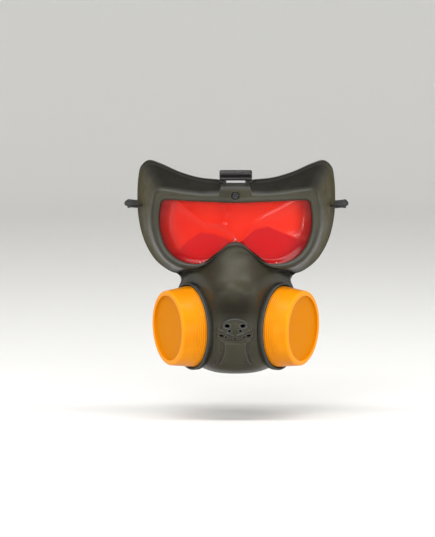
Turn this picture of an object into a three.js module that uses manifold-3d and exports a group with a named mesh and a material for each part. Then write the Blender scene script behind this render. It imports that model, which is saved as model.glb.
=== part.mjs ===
// Gas mask style costume mask: a soft moulded shell with goggle frame and muzzle, a clear red lens film,
// two plastic filter drums pressed into round sockets, a brow loop with its rivet, and an elastic head strap.
// Millimetres, +Z up. The front faces -Y, X = 0 is the mirror plane, and the origin is where the brow and the
// bridge of the nose seat. "Depth" below is the distance forward of the brow's edge, so y = -depth.

import * as THREE from "three";
import { mergeVertices } from "three/addons/utils/BufferGeometryUtils.js";
import Module from "manifold-3d";

const wasm = await Module();
wasm.setup();

// Shell: outline as seen from the front
const skirtWidth = 142.2;
const skirtRise = 48.8;
const skirtDrop = 102.2;
const lensWidth = 108;
const lensRise = 20.7;
const lensDrop = 22.1;

// Shell: depths and walls
const wall = 2;
const ringDepth = 27;
const ringBow = 7.6;
const ringWidth = 5.5;
const ringEdgeRound = 1.9;
const lipWidth = 2.2;
const templeSweep = 24;
const cheekSweep = 6;
const chinTuck = 7;
const chinTuckFrom = 0.75;
const cheekWallReach = 15;
const muzzleDepth = 48;
const muzzleHalfWidth = 17;
const muzzleRound = 4;
const valleyRound = 5;
const chinRound = 10;
const chinRoundFrom = 0.72;
const chinRoundTo = 0.95;
const edgeTurnFrom = 0.97;
const noseBlend = 3;

// Exhale valve and its stem
const valveDrop = 66.8;
const valveWidth = 21;
const valveHeight = 16;
const valveProud = 4.2;
const valveHoleDiameter = 2.6;
const stemWidth = 15;
const stemTaper = 0.85;
const stemTop = 77;
const stemFoot = 91;
const stemProud = 1.4;

// Lens film
const lensThickness = 0.8;
const lensOverlap = 0.8;

// Filter drums and their sockets
const drumBaseDiameter = 57.5;
const drumFaceDiameter = 53;
const drumDepth = 18.9;
const drumWall = 1.6;
const drumEdgeRound = 1.6;
const drumRimWidth = 2;
const drumRecess = 2;
const drumSpread = 31;
const drumDrop = 67.3;
const drumSocketDepth = 12.5;
const drumSplay = 63;
const drumDip = 2;
const socketWall = 1.9;
const socketLip = 2.2;
const socketProud = 0.5;
const spigotHeight = 5;
const spigotWall = 1.8;

// Brow loop, its tongue and the rivet
const loopWidth = 23;
const loopFoot = 32.2;
const loopTop = 42.8;
const loopDepth = 4;
const loopPlate = 3;
const loopBar = 5.3;
const loopCorner = 1.6;
const loopSlotWidth = 13.5;
const loopSlotHeight = 1.7;
const loopSlotFoot = 33.8;
const tongueWidth = 13;
const tongueThickness = 1.3;
const tongueBend = 0.8;
const rivetRise = 25.4;
const rivetHead = 4.7;
const rivetShank = 2.4;
const rivetHeadHeight = 1.1;
const rivetTail = 0.9;

// Head strap: a flat elastic band round a head of this size
const strapWidth = 6;
const strapThickness = 1.2;
const strapRay = 9.3;
const strapSlotDepth = -18;
const strapEndWidth = 8.6;
const strapEndThickness = 3.2;
const strapEndLength = 3.5;
const strapLead = 4.5;
const strapTwist = 22.5;
const headBreadth = 156;
const headLength = 193;
const strapNapeDrop = 9;

// Clearance between neighbouring pieces
const gap = 0.3;

// One ray a row, from the brow's middle down the right side to the chin's middle. Lens and skirt give the
// ray's two ends, across as a share of the half width and up as a share of the rise (above 0) or the drop
// (below 0). Ring is the width of the frame's front face along the ray, as a share of ringWidth.
const rays = [
  { lensAcross: 0.0, lensUp: 1.0, skirtAcross: 0.0, skirtUp: 0.73, ring: 1.75 },
  { lensAcross: 0.16, lensUp: 1.006, skirtAcross: 0.135, skirtUp: 0.732, ring: 1.7 },
  { lensAcross: 0.2, lensUp: 1.01, skirtAcross: 0.18, skirtUp: 0.738, ring: 0.9 },
  { lensAcross: 0.4, lensUp: 1.025, skirtAcross: 0.37, skirtUp: 0.764, ring: 0.8 },
  { lensAcross: 0.62, lensUp: 1.05, skirtAcross: 0.57, skirtUp: 0.843, ring: 0.95 },
  { lensAcross: 0.82, lensUp: 1.075, skirtAcross: 0.77, skirtUp: 0.96, ring: 1.2 },
  { lensAcross: 0.93, lensUp: 1.07, skirtAcross: 0.89, skirtUp: 0.998, ring: 1.3 },
  { lensAcross: 0.972, lensUp: 0.98, skirtAcross: 0.965, skirtUp: 0.905, ring: 1.2 },
  { lensAcross: 0.985, lensUp: 0.8, skirtAcross: 0.99, skirtUp: 0.74, ring: 1.1 },
  { lensAcross: 1.0, lensUp: 0.48, skirtAcross: 1.0, skirtUp: 0.47, ring: 1.05 },
  { lensAcross: 0.993, lensUp: 0.12, skirtAcross: 0.99, skirtUp: 0.18, ring: 1.0 },
  { lensAcross: 0.96, lensUp: -0.2, skirtAcross: 0.952, skirtUp: -0.04, ring: 0.95 },
  { lensAcross: 0.915, lensUp: -0.47, skirtAcross: 0.895, skirtUp: -0.135, ring: 0.85 },
  { lensAcross: 0.82, lensUp: -0.76, skirtAcross: 0.81, skirtUp: -0.22, ring: 0.9 },
  { lensAcross: 0.69, lensUp: -0.94, skirtAcross: 0.69, skirtUp: -0.285, ring: 0.92 },
  { lensAcross: 0.56, lensUp: -1.0, skirtAcross: 0.595, skirtUp: -0.318, ring: 0.92 },
  { lensAcross: 0.45, lensUp: -0.985, skirtAcross: 0.555, skirtUp: -0.35, ring: 0.97 },
  { lensAcross: 0.355, lensUp: -0.915, skirtAcross: 0.582, skirtUp: -0.41, ring: 0.92 },
  { lensAcross: 0.287, lensUp: -0.8, skirtAcross: 0.625, skirtUp: -0.49, ring: 0.78 },
  { lensAcross: 0.24, lensUp: -0.69, skirtAcross: 0.641, skirtUp: -0.59, ring: 0.62 },
  { lensAcross: 0.2, lensUp: -0.58, skirtAcross: 0.622, skirtUp: -0.71, ring: 0.6 },
  { lensAcross: 0.162, lensUp: -0.48, skirtAcross: 0.568, skirtUp: -0.83, ring: 0.6 },
  { lensAcross: 0.12, lensUp: -0.375, skirtAcross: 0.455, skirtUp: -0.93, ring: 0.6 },
  { lensAcross: 0.065, lensUp: -0.29, skirtAcross: 0.25, skirtUp: -0.986, ring: 0.6 },
  { lensAcross: 0.0, lensUp: -0.262, skirtAcross: 0.0, skirtUp: -1.0, ring: 0.6 },
];
const cheekNotchRay = 15;
const cheekNotchBlend = 1.5;

// Middle line of the nose and muzzle: down as a share of skirtDrop, out and crown (how far the muzzle's
// shoulders lie behind its middle) as shares of muzzleDepth.
const muzzle = [
  { down: 0.057, out: 0.562, crown: 0.18 },
  { down: 0.117, out: 0.61, crown: 0.18 },
  { down: 0.19, out: 0.71, crown: 0.18 },
  { down: 0.265, out: 0.85, crown: 0.17 },
  { down: 0.33, out: 0.955, crown: 0.14 },
  { down: 0.395, out: 1.0, crown: 0.12 },
  { down: 0.46, out: 0.985, crown: 0.11 },
  { down: 0.53, out: 0.94, crown: 0.1 },
  { down: 0.6, out: 0.915, crown: 0.09 },
  { down: 0.7, out: 0.915, crown: 0.09 },
  { down: 0.8, out: 0.905, crown: 0.1 },
  { down: 0.9, out: 0.875, crown: 0.12 },
  { down: 1.0, out: 0.84, crown: 0.14 },
];

// Holes of the valve, as shares of its width and height from its middle, and of the hole's diameter.
const valveHoles = [
  { across: 0.24, up: 0.16, size: 1 },
  { across: 0.16, up: -0.06, size: 0.6 },
  { across: 0.4, up: -0.28, size: 0.7 },
  { across: 0.0, up: -0.36, size: 0.5 },
];

// Middle line of the strap's right half, seen from above: across as a share of the head's half breadth,
// back as a share of its length, and drop as a share of strapNapeDrop.
const strapRoute = [
  { across: 0.985, back: 0.145, drop: 0.0 },
  { across: 1.01, back: 0.25, drop: 0.02 },
  { across: 1.02, back: 0.4, drop: 0.12 },
  { across: 1.005, back: 0.55, drop: 0.3 },
  { across: 0.93, back: 0.71, drop: 0.52 },
  { across: 0.78, back: 0.85, drop: 0.74 },
  { across: 0.55, back: 0.953, drop: 0.9 },
  { across: 0.28, back: 1.0, drop: 0.98 },
  { across: 0.0, back: 1.012, drop: 1.0 },
];

// Mesh steps
const frameSpacing = 5.8;
const cupSpacing = 4.1;
const faceSteps = 2;
const wallSteps = 6;
const rimSteps = 8;
const normalReach = 0.25;
const roundSegments = 32;
const lensSegments = 54;
const lensRings = 3;
const strapSteps = 70;

const material = (name, color, roughness, metalness = 0) =>
  new THREE.MeshStandardMaterial({ name, color, roughness, metalness });
const shellPvc = material("shell_pvc", 0x4b4842, 0.42);
const redFilm = new THREE.MeshStandardMaterial({
  name: "red_film",
  color: 0xe6281f,
  roughness: 0.12,
  transparent: true,
  opacity: 0.6,
});
const orangePlastic = material("orange_plastic", 0xf7951e, 0.4);
const blackPlastic = material("black_plastic", 0x1e1c1c, 0.25);
const blackElastic = material("black_elastic", 0x17161a, 0.8);

// Small helpers
const lerp = THREE.MathUtils.lerp;
const smoothstep = THREE.MathUtils.smoothstep;
const softMax = (a, b, round) => (a + b + Math.hypot(a - b, round)) / 2;
const softMin = (a, b, round) => (a + b - Math.hypot(a - b, round)) / 2;
// A straight rise from 0 at one place to 1 at another, its two corners rounded.
const roundedRise = (x, round) => (Math.abs(x) < round ? (x + round) ** 2 / (4 * round) : Math.max(x, 0));
const softRamp = (x, from, to, round) =>
  (roundedRise(x - from, round) - roundedRise(x - to, round)) / (to - from);

// Value of a table's column at a station, along a smooth curve through the rows.
function columnAt(table, station, column, x) {
  let row = 0;
  while (row < table.length - 2 && x > table[row + 1][station]) row += 1;
  const at = (i) => table[THREE.MathUtils.clamp(i, 0, table.length - 1)];
  const slope = (i) => {
    const [before, after] = [at(i - 1), at(i + 1)];
    return (after[column] - before[column]) / (after[station] - before[station]);
  };
  const [low, high] = [at(row), at(row + 1)];
  const span = high[station] - low[station];
  const t = THREE.MathUtils.clamp((x - low[station]) / span, 0, 1);
  const [t2, t3] = [t * t, t * t * t];
  return (
    (2 * t3 - 3 * t2 + 1) * low[column] +
    (t3 - 2 * t2 + t) * span * slope(row) +
    (3 * t2 - 2 * t3) * high[column] +
    (t3 - t2) * span * slope(row + 1)
  );
}

// A closed mesh made a solid, its shared vertices merged.
function solid(geometry) {
  const bare = geometry.clone();
  bare.deleteAttribute("normal");
  bare.deleteAttribute("uv");
  const merged = mergeVertices(bare, 1e-4);
  const triVerts = new Uint32Array(merged.index.array);
  return new wasm.Manifold(
    new wasm.Mesh({ numProp: 3, vertProperties: merged.attributes.position.array, triVerts }),
  );
}

// A solid made a mesh again.
function meshOf(name, body, look) {
  const { vertProperties, triVerts, numProp } = body.getMesh();
  const position = new Float32Array((vertProperties.length / numProp) * 3);
  for (let i = 0; i < position.length / 3; i += 1) {
    position.set(vertProperties.subarray(i * numProp, i * numProp + 3), i * 3);
  }
  const geometry = new THREE.BufferGeometry();
  geometry.setAttribute("position", new THREE.BufferAttribute(position, 3));
  geometry.setIndex(new THREE.BufferAttribute(new Uint32Array(triVerts), 1));
  geometry.computeVertexNormals();
  const mesh = new THREE.Mesh(geometry, look);
  mesh.name = name;
  return mesh;
}

// Points and the triangles between them, given as triples of point numbers.
function indexedGeometry(points, triangles) {
  const geometry = new THREE.BufferGeometry();
  geometry.setFromPoints(points);
  geometry.setIndex(triangles.flat());
  return geometry;
}

// Such a geometry made a solid with its faces out, whichever way its triangles ran.
function solidFrom(points, triangles) {
  const body = solid(indexedGeometry(points, triangles));
  if (body.volume() > 0) return body;
  return solid(indexedGeometry(points, triangles.map(([a, b, c]) => [a, c, b])));
}

// Solid through equal rings of points, its two ends closed by fans.
function loft(rings) {
  const count = rings[0].length;
  const points = rings.flat();
  const triangles = [];
  const id = (ring, i) => ring * count + (i % count);
  for (let ring = 0; ring < rings.length - 1; ring += 1) {
    for (let i = 0; i < count; i += 1) {
      triangles.push([id(ring, i), id(ring, i + 1), id(ring + 1, i + 1)]);
      triangles.push([id(ring, i), id(ring + 1, i + 1), id(ring + 1, i)]);
    }
  }
  for (let i = 1; i < count - 1; i += 1) {
    triangles.push([id(0, 0), id(0, i + 1), id(0, i)]);
    triangles.push([id(rings.length - 1, 0), id(rings.length - 1, i), id(rings.length - 1, i + 1)]);
  }
  return solidFrom(points, triangles);
}

// Prism between two equal outlines (depth, up), which need not be convex, at two places across.
function prism(profile, left, right) {
  const flat = profile.map(([depth, up]) => new THREE.Vector2(depth, up));
  if (THREE.ShapeUtils.isClockWise(flat)) flat.reverse();
  const points = [left, right].flatMap((x) => flat.map((p) => new THREE.Vector3(x, -p.x, p.y)));
  const count = flat.length;
  const triangles = [];
  for (const [a, b, c] of THREE.ShapeUtils.triangulateShape(flat, [])) {
    triangles.push([a, b, c], [a + count, c + count, b + count]);
  }
  for (let i = 0; i < count; i += 1) {
    const next = (i + 1) % count;
    triangles.push([i, i + count, next + count], [i, next + count, next]);
  }
  return solidFrom(points, triangles);
}

// A front view outline (across, up) made a block from one depth forward to another.
function frontBlock(shape, fromDepth, toDepth, bevel = 0) {
  const options = { depth: toDepth - fromDepth - 2 * bevel, bevelEnabled: bevel > 0, curveSegments: 5 };
  Object.assign(options, { bevelThickness: bevel, bevelSize: bevel, bevelOffset: -bevel, bevelSegments: 2 });
  const geometry = new THREE.ExtrudeGeometry(shape, options);
  return geometry.rotateX(Math.PI / 2).translate(0, -fromDepth - bevel, 0);
}

function roundedRectangle(left, right, foot, top, corner) {
  const shape = new THREE.Shape();
  shape.moveTo(left + corner, foot);
  shape.lineTo(right - corner, foot);
  shape.absarc(right - corner, foot + corner, corner, -Math.PI / 2, 0);
  shape.lineTo(right, top - corner);
  shape.absarc(right - corner, top - corner, corner, 0, Math.PI / 2);
  shape.lineTo(left + corner, top);
  shape.absarc(left + corner, top - corner, corner, Math.PI / 2, Math.PI);
  shape.lineTo(left, foot + corner);
  shape.absarc(left + corner, foot + corner, corner, Math.PI, 1.5 * Math.PI);
  return shape;
}

// A rod along Y between two depths.
function rod(radius, fromDepth, toDepth, x, z, segments = 16) {
  const length = Math.abs(toDepth - fromDepth);
  const geometry = new THREE.CylinderGeometry(radius, radius, length, segments);
  return solid(geometry.translate(x, -(fromDepth + toDepth) / 2, z));
}

// The sheet of the shell
const shareUp = (share, rise, drop) => (share > 0 ? share * rise : share * drop);
const halfLens = lensWidth / 2;
const halfSkirt = skirtWidth / 2;

const frontDepth = (x) => ringDepth - ringBow * (x / halfLens) ** 2;

// The two outlines, each a closed curve through its rays and their mirror images.
function closedOutline(pointOf) {
  const right = rays.map(pointOf);
  const left = right.slice(1, -1).reverse();
  const mirrored = left.map((p) => new THREE.Vector3(-p.x, p.y, p.z));
  return new THREE.CatmullRomCurve3([...right, ...mirrored], true);
}
const lensOutline = closedOutline(
  (ray) => new THREE.Vector3(ray.lensAcross * halfLens, 0, shareUp(ray.lensUp, lensRise, lensDrop)),
);
const skirtOutline = closedOutline(
  (ray) => new THREE.Vector3(ray.skirtAcross * halfSkirt, 0, shareUp(ray.skirtUp, skirtRise, skirtDrop)),
);

// A ray's number from 0 at the brow to its last at the chin, on either side.
const lastRay = rays.length - 1;
const foldedRay = (u) => Math.min(u, 2 * lastRay - u);
const cupShare = (u) =>
  smoothstep(foldedRay(u), cheekNotchRay - cheekNotchBlend, cheekNotchRay + cheekNotchBlend);

function ringAt(u) {
  const ray = foldedRay(u);
  const low = Math.min(Math.floor(ray), lastRay - 1);
  return ringWidth * lerp(rays[low].ring, rays[low + 1].ring, ray - low);
}

function skirtDepth(point, cup) {
  const across = (point.x / halfSkirt) ** 2;
  const cheek = cup * cheekSweep * (point.x / (drumSpread + drumBaseDiameter / 4)) ** 2;
  const chin = chinTuck * smoothstep(-point.z / skirtDrop, chinTuckFrom, 1);
  return -templeSweep * across - cheek - chin;
}

// How far in from the edge the cup starts to turn under: far at the chin, little beside the drums.
const rimRun = (skirt) =>
  lerp(lipWidth, chinRound, smoothstep(-skirt.z / skirtDrop, chinRoundFrom, chinRoundTo));

// Direction that a drum faces, and the plane of its socket.
function drumAxis(side) {
  const [splay, dip] = [THREE.MathUtils.degToRad(drumSplay), THREE.MathUtils.degToRad(drumDip)];
  return new THREE.Vector3(
    side * Math.sin(splay) * Math.cos(dip),
    -Math.cos(splay) * Math.cos(dip),
    -Math.sin(dip),
  );
}
const drumCentre = (side) => new THREE.Vector3(side * drumSpread, -drumSocketDepth, -drumDrop);

function socketPlaneDepth(x, z) {
  const [axis, centre] = [drumAxis(1), drumCentre(1)];
  const level = axis.dot(centre) - socketProud;
  return (axis.x * Math.abs(x) + axis.z * z - level) / axis.y;
}

function muzzleDepthAt(x, z) {
  const down = -z / skirtDrop;
  const middle = muzzleDepth * columnAt(muzzle, "down", "out", down);
  const crown = muzzleDepth * columnAt(muzzle, "down", "crown", down);
  return middle - crown * (x / muzzleHalfWidth) ** 2;
}

// What a ray needs, worked out once: its two ends, its length, and how much of it is cup.
const knownRays = new Map();
function rayOf(u) {
  const number = (u + 2 * lastRay) % (2 * lastRay);
  if (!knownRays.has(number)) {
    const turn = number / (2 * lastRay);
    const [lens, skirt] = [lensOutline.getPoint(turn), skirtOutline.getPoint(turn)];
    const [length, cup] = [lens.distanceTo(skirt), cupShare(number)];
    const corner = ringAt(number) + ringEdgeRound / 2;
    const foot = lerp(length, Math.min(length, cheekWallReach), cup) - lipWidth;
    knownRays.set(number, { lens, skirt, length, cup, corner, foot });
  }
  return knownRays.get(number);
}

// Depth of the goggle frame and of the cup's body at a share of the way out along a ray.
function frameAt(ray, share) {
  const x = lerp(ray.lens.x, ray.skirt.x, share);
  const fall = softRamp(share * ray.length, ray.corner, ray.foot, ringEdgeRound);
  const foot = lerp(skirtDepth(ray.skirt, ray.cup), -muzzleDepth / 2, ray.cup);
  return lerp(frontDepth(x), foot, Math.min(fall, 1));
}
function bodyAt(ray, share) {
  const [x, z] = [lerp(ray.lens.x, ray.skirt.x, share), lerp(ray.lens.z, ray.skirt.z, share)];
  const body = softMin(muzzleDepthAt(x, z), socketPlaneDepth(x, z), muzzleRound);
  return body - (1 - ray.cup) * muzzleDepth;
}

// Outer surface of the shell on ray u, at a share of the way from the lens opening to the skirt's edge.
function shellPoint(u, share) {
  const ray = rayOf(u);
  const point = ray.lens.clone().lerp(ray.skirt, share);
  const run = share * ray.length;
  const edge = skirtDepth(ray.skirt, ray.cup);
  let depth = frameAt(ray, share);
  if (ray.cup > 0) {
    depth = softMax(depth, bodyAt(ray, share), valleyRound);
    depth = lerp(frontDepth(point.x), depth, smoothstep(run, 0, noseBlend));
    const rim = THREE.MathUtils.clamp(1 - (ray.length - run) / rimRun(ray.skirt), 0, 1);
    depth = lerp(depth, edge, ray.cup * rim ** 3);
  }
  depth = lerp(depth, edge, smoothstep(share, edgeTurnFrom, 1) * (1 - ray.cup));
  return new THREE.Vector3(point.x, -depth, point.z);
}

// Outward direction of that surface, from neighbours a little way off along the rays and across them.
function shellNormal(u, share) {
  const [du, ds] = [normalReach, normalReach / 20];
  const [low, high] = [Math.max(share - ds, 0), Math.min(share + ds, 1)];
  const around = shellPoint(u + du, share).sub(shellPoint(u - du, share));
  const along = shellPoint(u, high).sub(shellPoint(u, low));
  return around.cross(along).normalize();
}

// Where the mesh lines lie: rays closer together round the cup, and stations along each ray in three
// stretches, the ring's face, the wall as far as the valley between frame and cup, and what is left.
function meshRays() {
  const stations = [];
  for (let ray = 0; ray < 2 * lastRay; ray += 1) {
    const steps = (share) => shellPoint(ray, share).distanceTo(shellPoint(ray + 1, share)) / 2;
    const spacing = cupShare(ray + 0.5) > 0 ? cupSpacing : frameSpacing;
    const count = Math.max(1, Math.round((steps(0) + steps(1)) / spacing));
    for (let i = 0; i < count; i += 1) stations.push(ray + i / count);
  }
  return stations;
}

function valleyShare(ray) {
  const face = ray.corner / ray.length;
  const middle = (face + 1) / 2;
  if (ray.cup === 0) return middle;
  let share = face;
  while (share < 0.96 && frameAt(ray, share) > bodyAt(ray, share)) share += 0.01;
  return lerp(middle, share, smoothstep(ray.cup, 0, 0.5));
}

function meshShares(u) {
  const ray = rayOf(u);
  const face = (ray.corner - ringEdgeRound) / ray.length;
  const valley = Math.max(valleyShare(ray), face + 0.5 / ray.length);
  const shares = [];
  for (let i = 0; i < faceSteps; i += 1) shares.push((face * i) / faceSteps);
  for (let i = 0; i < wallSteps; i += 1) shares.push(lerp(face, valley, i / wallSteps));
  for (let i = 0; i <= rimSteps; i += 1) shares.push(lerp(valley, 1, 1 - (1 - i / rimSteps) ** 1.2));
  return shares;
}

function shellSheet() {
  const [outer, inner] = [[], []];
  const stations = meshRays();
  const rows = faceSteps + wallSteps + rimSteps + 1;
  for (const u of stations) {
    for (const share of meshShares(u)) {
      const point = shellPoint(u, share);
      outer.push(point);
      inner.push(point.clone().addScaledVector(shellNormal(u, share), -wall));
    }
  }
  const triangles = [];
  const at = (i, j) => (i % stations.length) * rows + j;
  const behind = (i, j) => at(i, j) + outer.length;
  const quad = (a, b, c, d) => triangles.push([a, b, c], [a, c, d]);
  for (let i = 0; i < stations.length; i += 1) {
    for (let j = 0; j < rows - 1; j += 1) {
      quad(at(i, j), at(i + 1, j), at(i + 1, j + 1), at(i, j + 1));
      quad(behind(i, j), behind(i, j + 1), behind(i + 1, j + 1), behind(i + 1, j));
    }
    quad(at(i + 1, 0), at(i, 0), behind(i, 0), behind(i + 1, 0));
    const edge = rows - 1;
    quad(at(i, edge), at(i + 1, edge), behind(i + 1, edge), behind(i, edge));
  }
  return solidFrom([...outer, ...inner], triangles);
}

// Sockets, valve, stem and cuts of the shell
const drumBaseRadius = drumBaseDiameter / 2;
const drumFaceRadius = drumFaceDiameter / 2;
const drumTaper = (drumBaseRadius - drumFaceRadius) / (drumDepth - drumEdgeRound);

function placeOnSocket(geometry, side) {
  const turn = new THREE.Quaternion().setFromUnitVectors(new THREE.Vector3(0, 1, 0), drumAxis(side));
  const centre = drumCentre(side);
  return geometry.applyQuaternion(turn).translate(centre.x, centre.y, centre.z);
}

function lathe(profile) {
  const points = profile.map(([radius, height]) => new THREE.Vector2(radius, height));
  return new THREE.LatheGeometry(points, roundSegments);
}

function socket(side) {
  const bore = drumBaseRadius + gap;
  const outside = bore + socketWall;
  const spigot = drumBaseRadius - drumWall - drumTaper * spigotHeight - gap;
  const round = socketWall / 3;
  const profile = [
    [0, -socketProud - wall / 2],
    [outside, -socketProud - wall / 2],
    [outside, socketLip - round],
    [outside - round, socketLip],
    [bore, socketLip],
    [bore, 0],
    [spigot, 0],
    [spigot, spigotHeight],
    [spigot - spigotWall, spigotHeight],
    [spigot - spigotWall, 0],
    [0, 0],
  ];
  return solid(placeOnSocket(lathe(profile), side));
}

function valveDome() {
  const depth = muzzleDepthAt(0, -valveDrop);
  const dome = new THREE.SphereGeometry(1, 18, 10);
  dome.scale(valveWidth / 2, valveProud, valveHeight / 2);
  return solid(dome.translate(0, -depth, -valveDrop));
}

function valveHoleRods() {
  const depth = muzzleDepthAt(0, -valveDrop);
  const rods = [];
  for (const { across, up, size } of valveHoles) {
    for (const side of across > 0 ? [-1, 1] : [1]) {
      const [x, z] = [side * across * valveWidth, -valveDrop + up * valveHeight];
      const radius = (valveHoleDiameter * size) / 2;
      rods.push(rod(radius, depth - valveProud - 2 * wall, depth + 2 * valveProud, x, z, 10));
    }
  }
  return rods;
}

function stem() {
  const shape = new THREE.Shape();
  const [top, foot] = [-stemTop, -stemFoot];
  shape.moveTo((-stemWidth / 2) * stemTaper, top);
  shape.lineTo(-stemWidth / 2, foot);
  shape.lineTo(stemWidth / 2, foot);
  shape.lineTo((stemWidth / 2) * stemTaper, top);
  shape.closePath();
  const front = muzzleDepthAt(0, (top + foot) / 2) + stemProud;
  return solid(frontBlock(shape, front - stemProud - wall * 1.2, front, 0.5));
}

// Place on a ray of the frame where the wall has come back to a depth, found by halving.
function rayAtDepth(u, depth) {
  let [low, high] = [0, 1];
  while (high - low > 1e-6) {
    const middle = (low + high) / 2;
    if (-shellPoint(u, middle).y > depth) low = middle;
    else high = middle;
  }
  return shellPoint(u, low);
}
const strapExit = rayAtDepth(strapRay, strapSlotDepth);
const strapEndStop = rayAtDepth(strapRay, strapSlotDepth + strapEndWidth / 2).x - wall - 2 * gap;

function strapSlot(side) {
  const geometry = new THREE.BoxGeometry(8 * wall, strapWidth + 2 * gap, strapThickness + 2 * gap);
  return solid(geometry.translate(side * strapExit.x, strapExit.y, strapExit.z));
}

function loopNotch() {
  const half = loopWidth / 2 + gap;
  const shape = roundedRectangle(-half, half, loopFoot - gap, skirtRise, loopCorner);
  return solid(frontBlock(shape, -loopBar, loopDepth + loopPlate / 2 + gap));
}

function faceShell() {
  let body = shellSheet();
  for (const side of [-1, 1]) body = body.add(socket(side));
  body = body.add(valveDome()).add(stem());
  for (const hole of valveHoleRods()) body = body.subtract(hole);
  for (const side of [-1, 1]) body = body.subtract(strapSlot(side));
  const tabFace = frontDepth(0);
  const tabHole = rod(rivetShank / 2 + gap, tabFace - 3 * wall, tabFace + wall, 0, rivetRise);
  const headSeat = rod(rivetHead / 2 + gap, tabFace - rivetHeadHeight, tabFace + wall, 0, rivetRise);
  body = body.subtract(tabHole).subtract(headSeat).subtract(loopNotch()).subtract(tonguePassage());
  return meshOf("face_shell", body, shellPvc);
}

// Film: a disc of rings from its middle to its outline, bent to the frame's bow.
function lensFilm() {
  const middle = new THREE.Vector3(0, 0, lensRise * 0.4);
  const outline = [];
  for (let i = 0; i < lensSegments; i += 1) {
    const at = lensOutline.getPoint(i / lensSegments);
    const tangent = lensOutline.getTangent(i / lensSegments);
    outline.push(at.addScaledVector(new THREE.Vector3(-tangent.z, 0, tangent.x), lensOverlap));
  }
  const face = (back) => {
    const points = [middle.clone()];
    for (let ring = 1; ring <= lensRings; ring += 1) {
      for (const p of outline) points.push(middle.clone().lerp(p, ring / lensRings));
    }
    for (const p of points) p.y = -(frontDepth(p.x) - wall - gap - back);
    return points;
  };
  const [front, rear] = [face(0), face(lensThickness)];
  const triangles = [];
  const at = (ring, i) => 1 + (ring - 1) * lensSegments + (i % lensSegments);
  const push = (a, b, c) => {
    triangles.push([a, b, c], [a + front.length, c + front.length, b + front.length]);
  };
  for (let i = 0; i < lensSegments; i += 1) {
    push(0, at(1, i), at(1, i + 1));
    for (let ring = 1; ring < lensRings; ring += 1) {
      push(at(ring, i), at(ring + 1, i), at(ring + 1, i + 1));
      push(at(ring, i), at(ring + 1, i + 1), at(ring, i + 1));
    }
    const [a, b] = [at(lensRings, i), at(lensRings, i + 1)];
    triangles.push([a, a + front.length, b + front.length], [a, b + front.length, b]);
  }
  return meshOf("lens_film", solidFrom([...front, ...rear], triangles), redFilm);
}

function drum(side, name) {
  const [base, face] = [drumBaseRadius, drumFaceRadius];
  const shoulder = drumDepth - drumEdgeRound;
  const floor = drumDepth - drumRecess;
  const profile = [[0, floor], [face - drumEdgeRound - drumRimWidth, floor]];
  profile.push([face - drumEdgeRound - drumRimWidth, drumDepth]);
  for (let i = 0; i <= 4; i += 1) {
    const angle = Math.PI / 2 - (i * Math.PI) / 8;
    const across = drumEdgeRound * Math.cos(angle);
    profile.push([face - drumEdgeRound + across, shoulder + drumEdgeRound * Math.sin(angle)]);
  }
  const inside = base - drumWall;
  profile.push([base, gap], [inside, gap]);
  const roof = floor - drumWall;
  profile.push([inside - drumTaper * roof, roof], [0, roof]);
  return meshOf(name, solid(placeOnSocket(lathe(profile.reverse()), side)), orangePlastic);
}

// Brow loop: slotted plate, round bar on top, a slim bar above the slot, and a tongue behind the tab.
function loopPlateSolid() {
  const half = loopWidth / 2;
  const shape = roundedRectangle(-half, half, loopFoot, loopTop - loopBar / 2, loopCorner);
  const slotHalf = loopSlotWidth / 2;
  const slotTop = loopSlotFoot + loopSlotHeight;
  shape.holes.push(roundedRectangle(-slotHalf, slotHalf, loopSlotFoot, slotTop, loopSlotHeight / 3));
  return solid(frontBlock(shape, loopDepth - loopPlate / 2, loopDepth + loopPlate / 2));
}

function crossBar(radius, length, depth, z) {
  const geometry = new THREE.CapsuleGeometry(radius, length - 2 * radius, 3, 12);
  return solid(geometry.rotateZ(Math.PI / 2).translate(0, -depth, z));
}

// The tongue drops from the loop through the wall, runs forward under it and turns down behind the tab.
function tongueSolid() {
  const [front, back] = [loopDepth + tongueThickness / 2, loopDepth - tongueThickness / 2];
  const [heel, foot] = [loopFoot + loopSlotHeight / 2, rivetRise - rivetHead / 2];
  const tab = frontDepth(0) - wall - gap;
  const corner = tab - tongueBend;
  const roof = (depth) => rayAtDepth(0, depth).z - wall - 2 * gap;
  const near = [
    [front, heel],
    [front, roof(front)],
    [corner, roof(corner)],
    [tab, roof(corner) - tongueBend],
    [tab, foot],
  ];
  const far = [
    [back, heel],
    [back, roof(front) - tongueThickness],
    [corner - 0.6 * tongueThickness, roof(corner) - tongueThickness],
    [tab - tongueThickness, roof(corner) - tongueBend - 0.6 * tongueThickness],
    [tab - tongueThickness, foot],
  ];
  return prism([...near, ...far.reverse()], -tongueWidth / 2, tongueWidth / 2);
}

function tonguePassage() {
  const thickness = tongueThickness + 2 * gap;
  const geometry = new THREE.BoxGeometry(tongueWidth + 2 * gap, thickness, 4 * wall);
  return solid(geometry.translate(0, -loopDepth, loopFoot - wall));
}

function strapLoop() {
  const barHeight = loopTop - loopBar / 2;
  const slimBar = loopSlotHeight / 2;
  const slimHeight = loopSlotFoot + 1.5 * loopSlotHeight;
  let body = loopPlateSolid().add(crossBar(loopBar / 2, loopWidth, loopDepth, barHeight));
  body = body.add(crossBar(slimBar, loopWidth, loopDepth + loopPlate / 2, slimHeight));
  body = body.add(tongueSolid());
  const hole = rod(rivetShank / 2 + gap, 0, 2 * ringDepth, 0, rivetRise);
  return meshOf("strap_loop", body.subtract(hole), blackPlastic);
}

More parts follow.
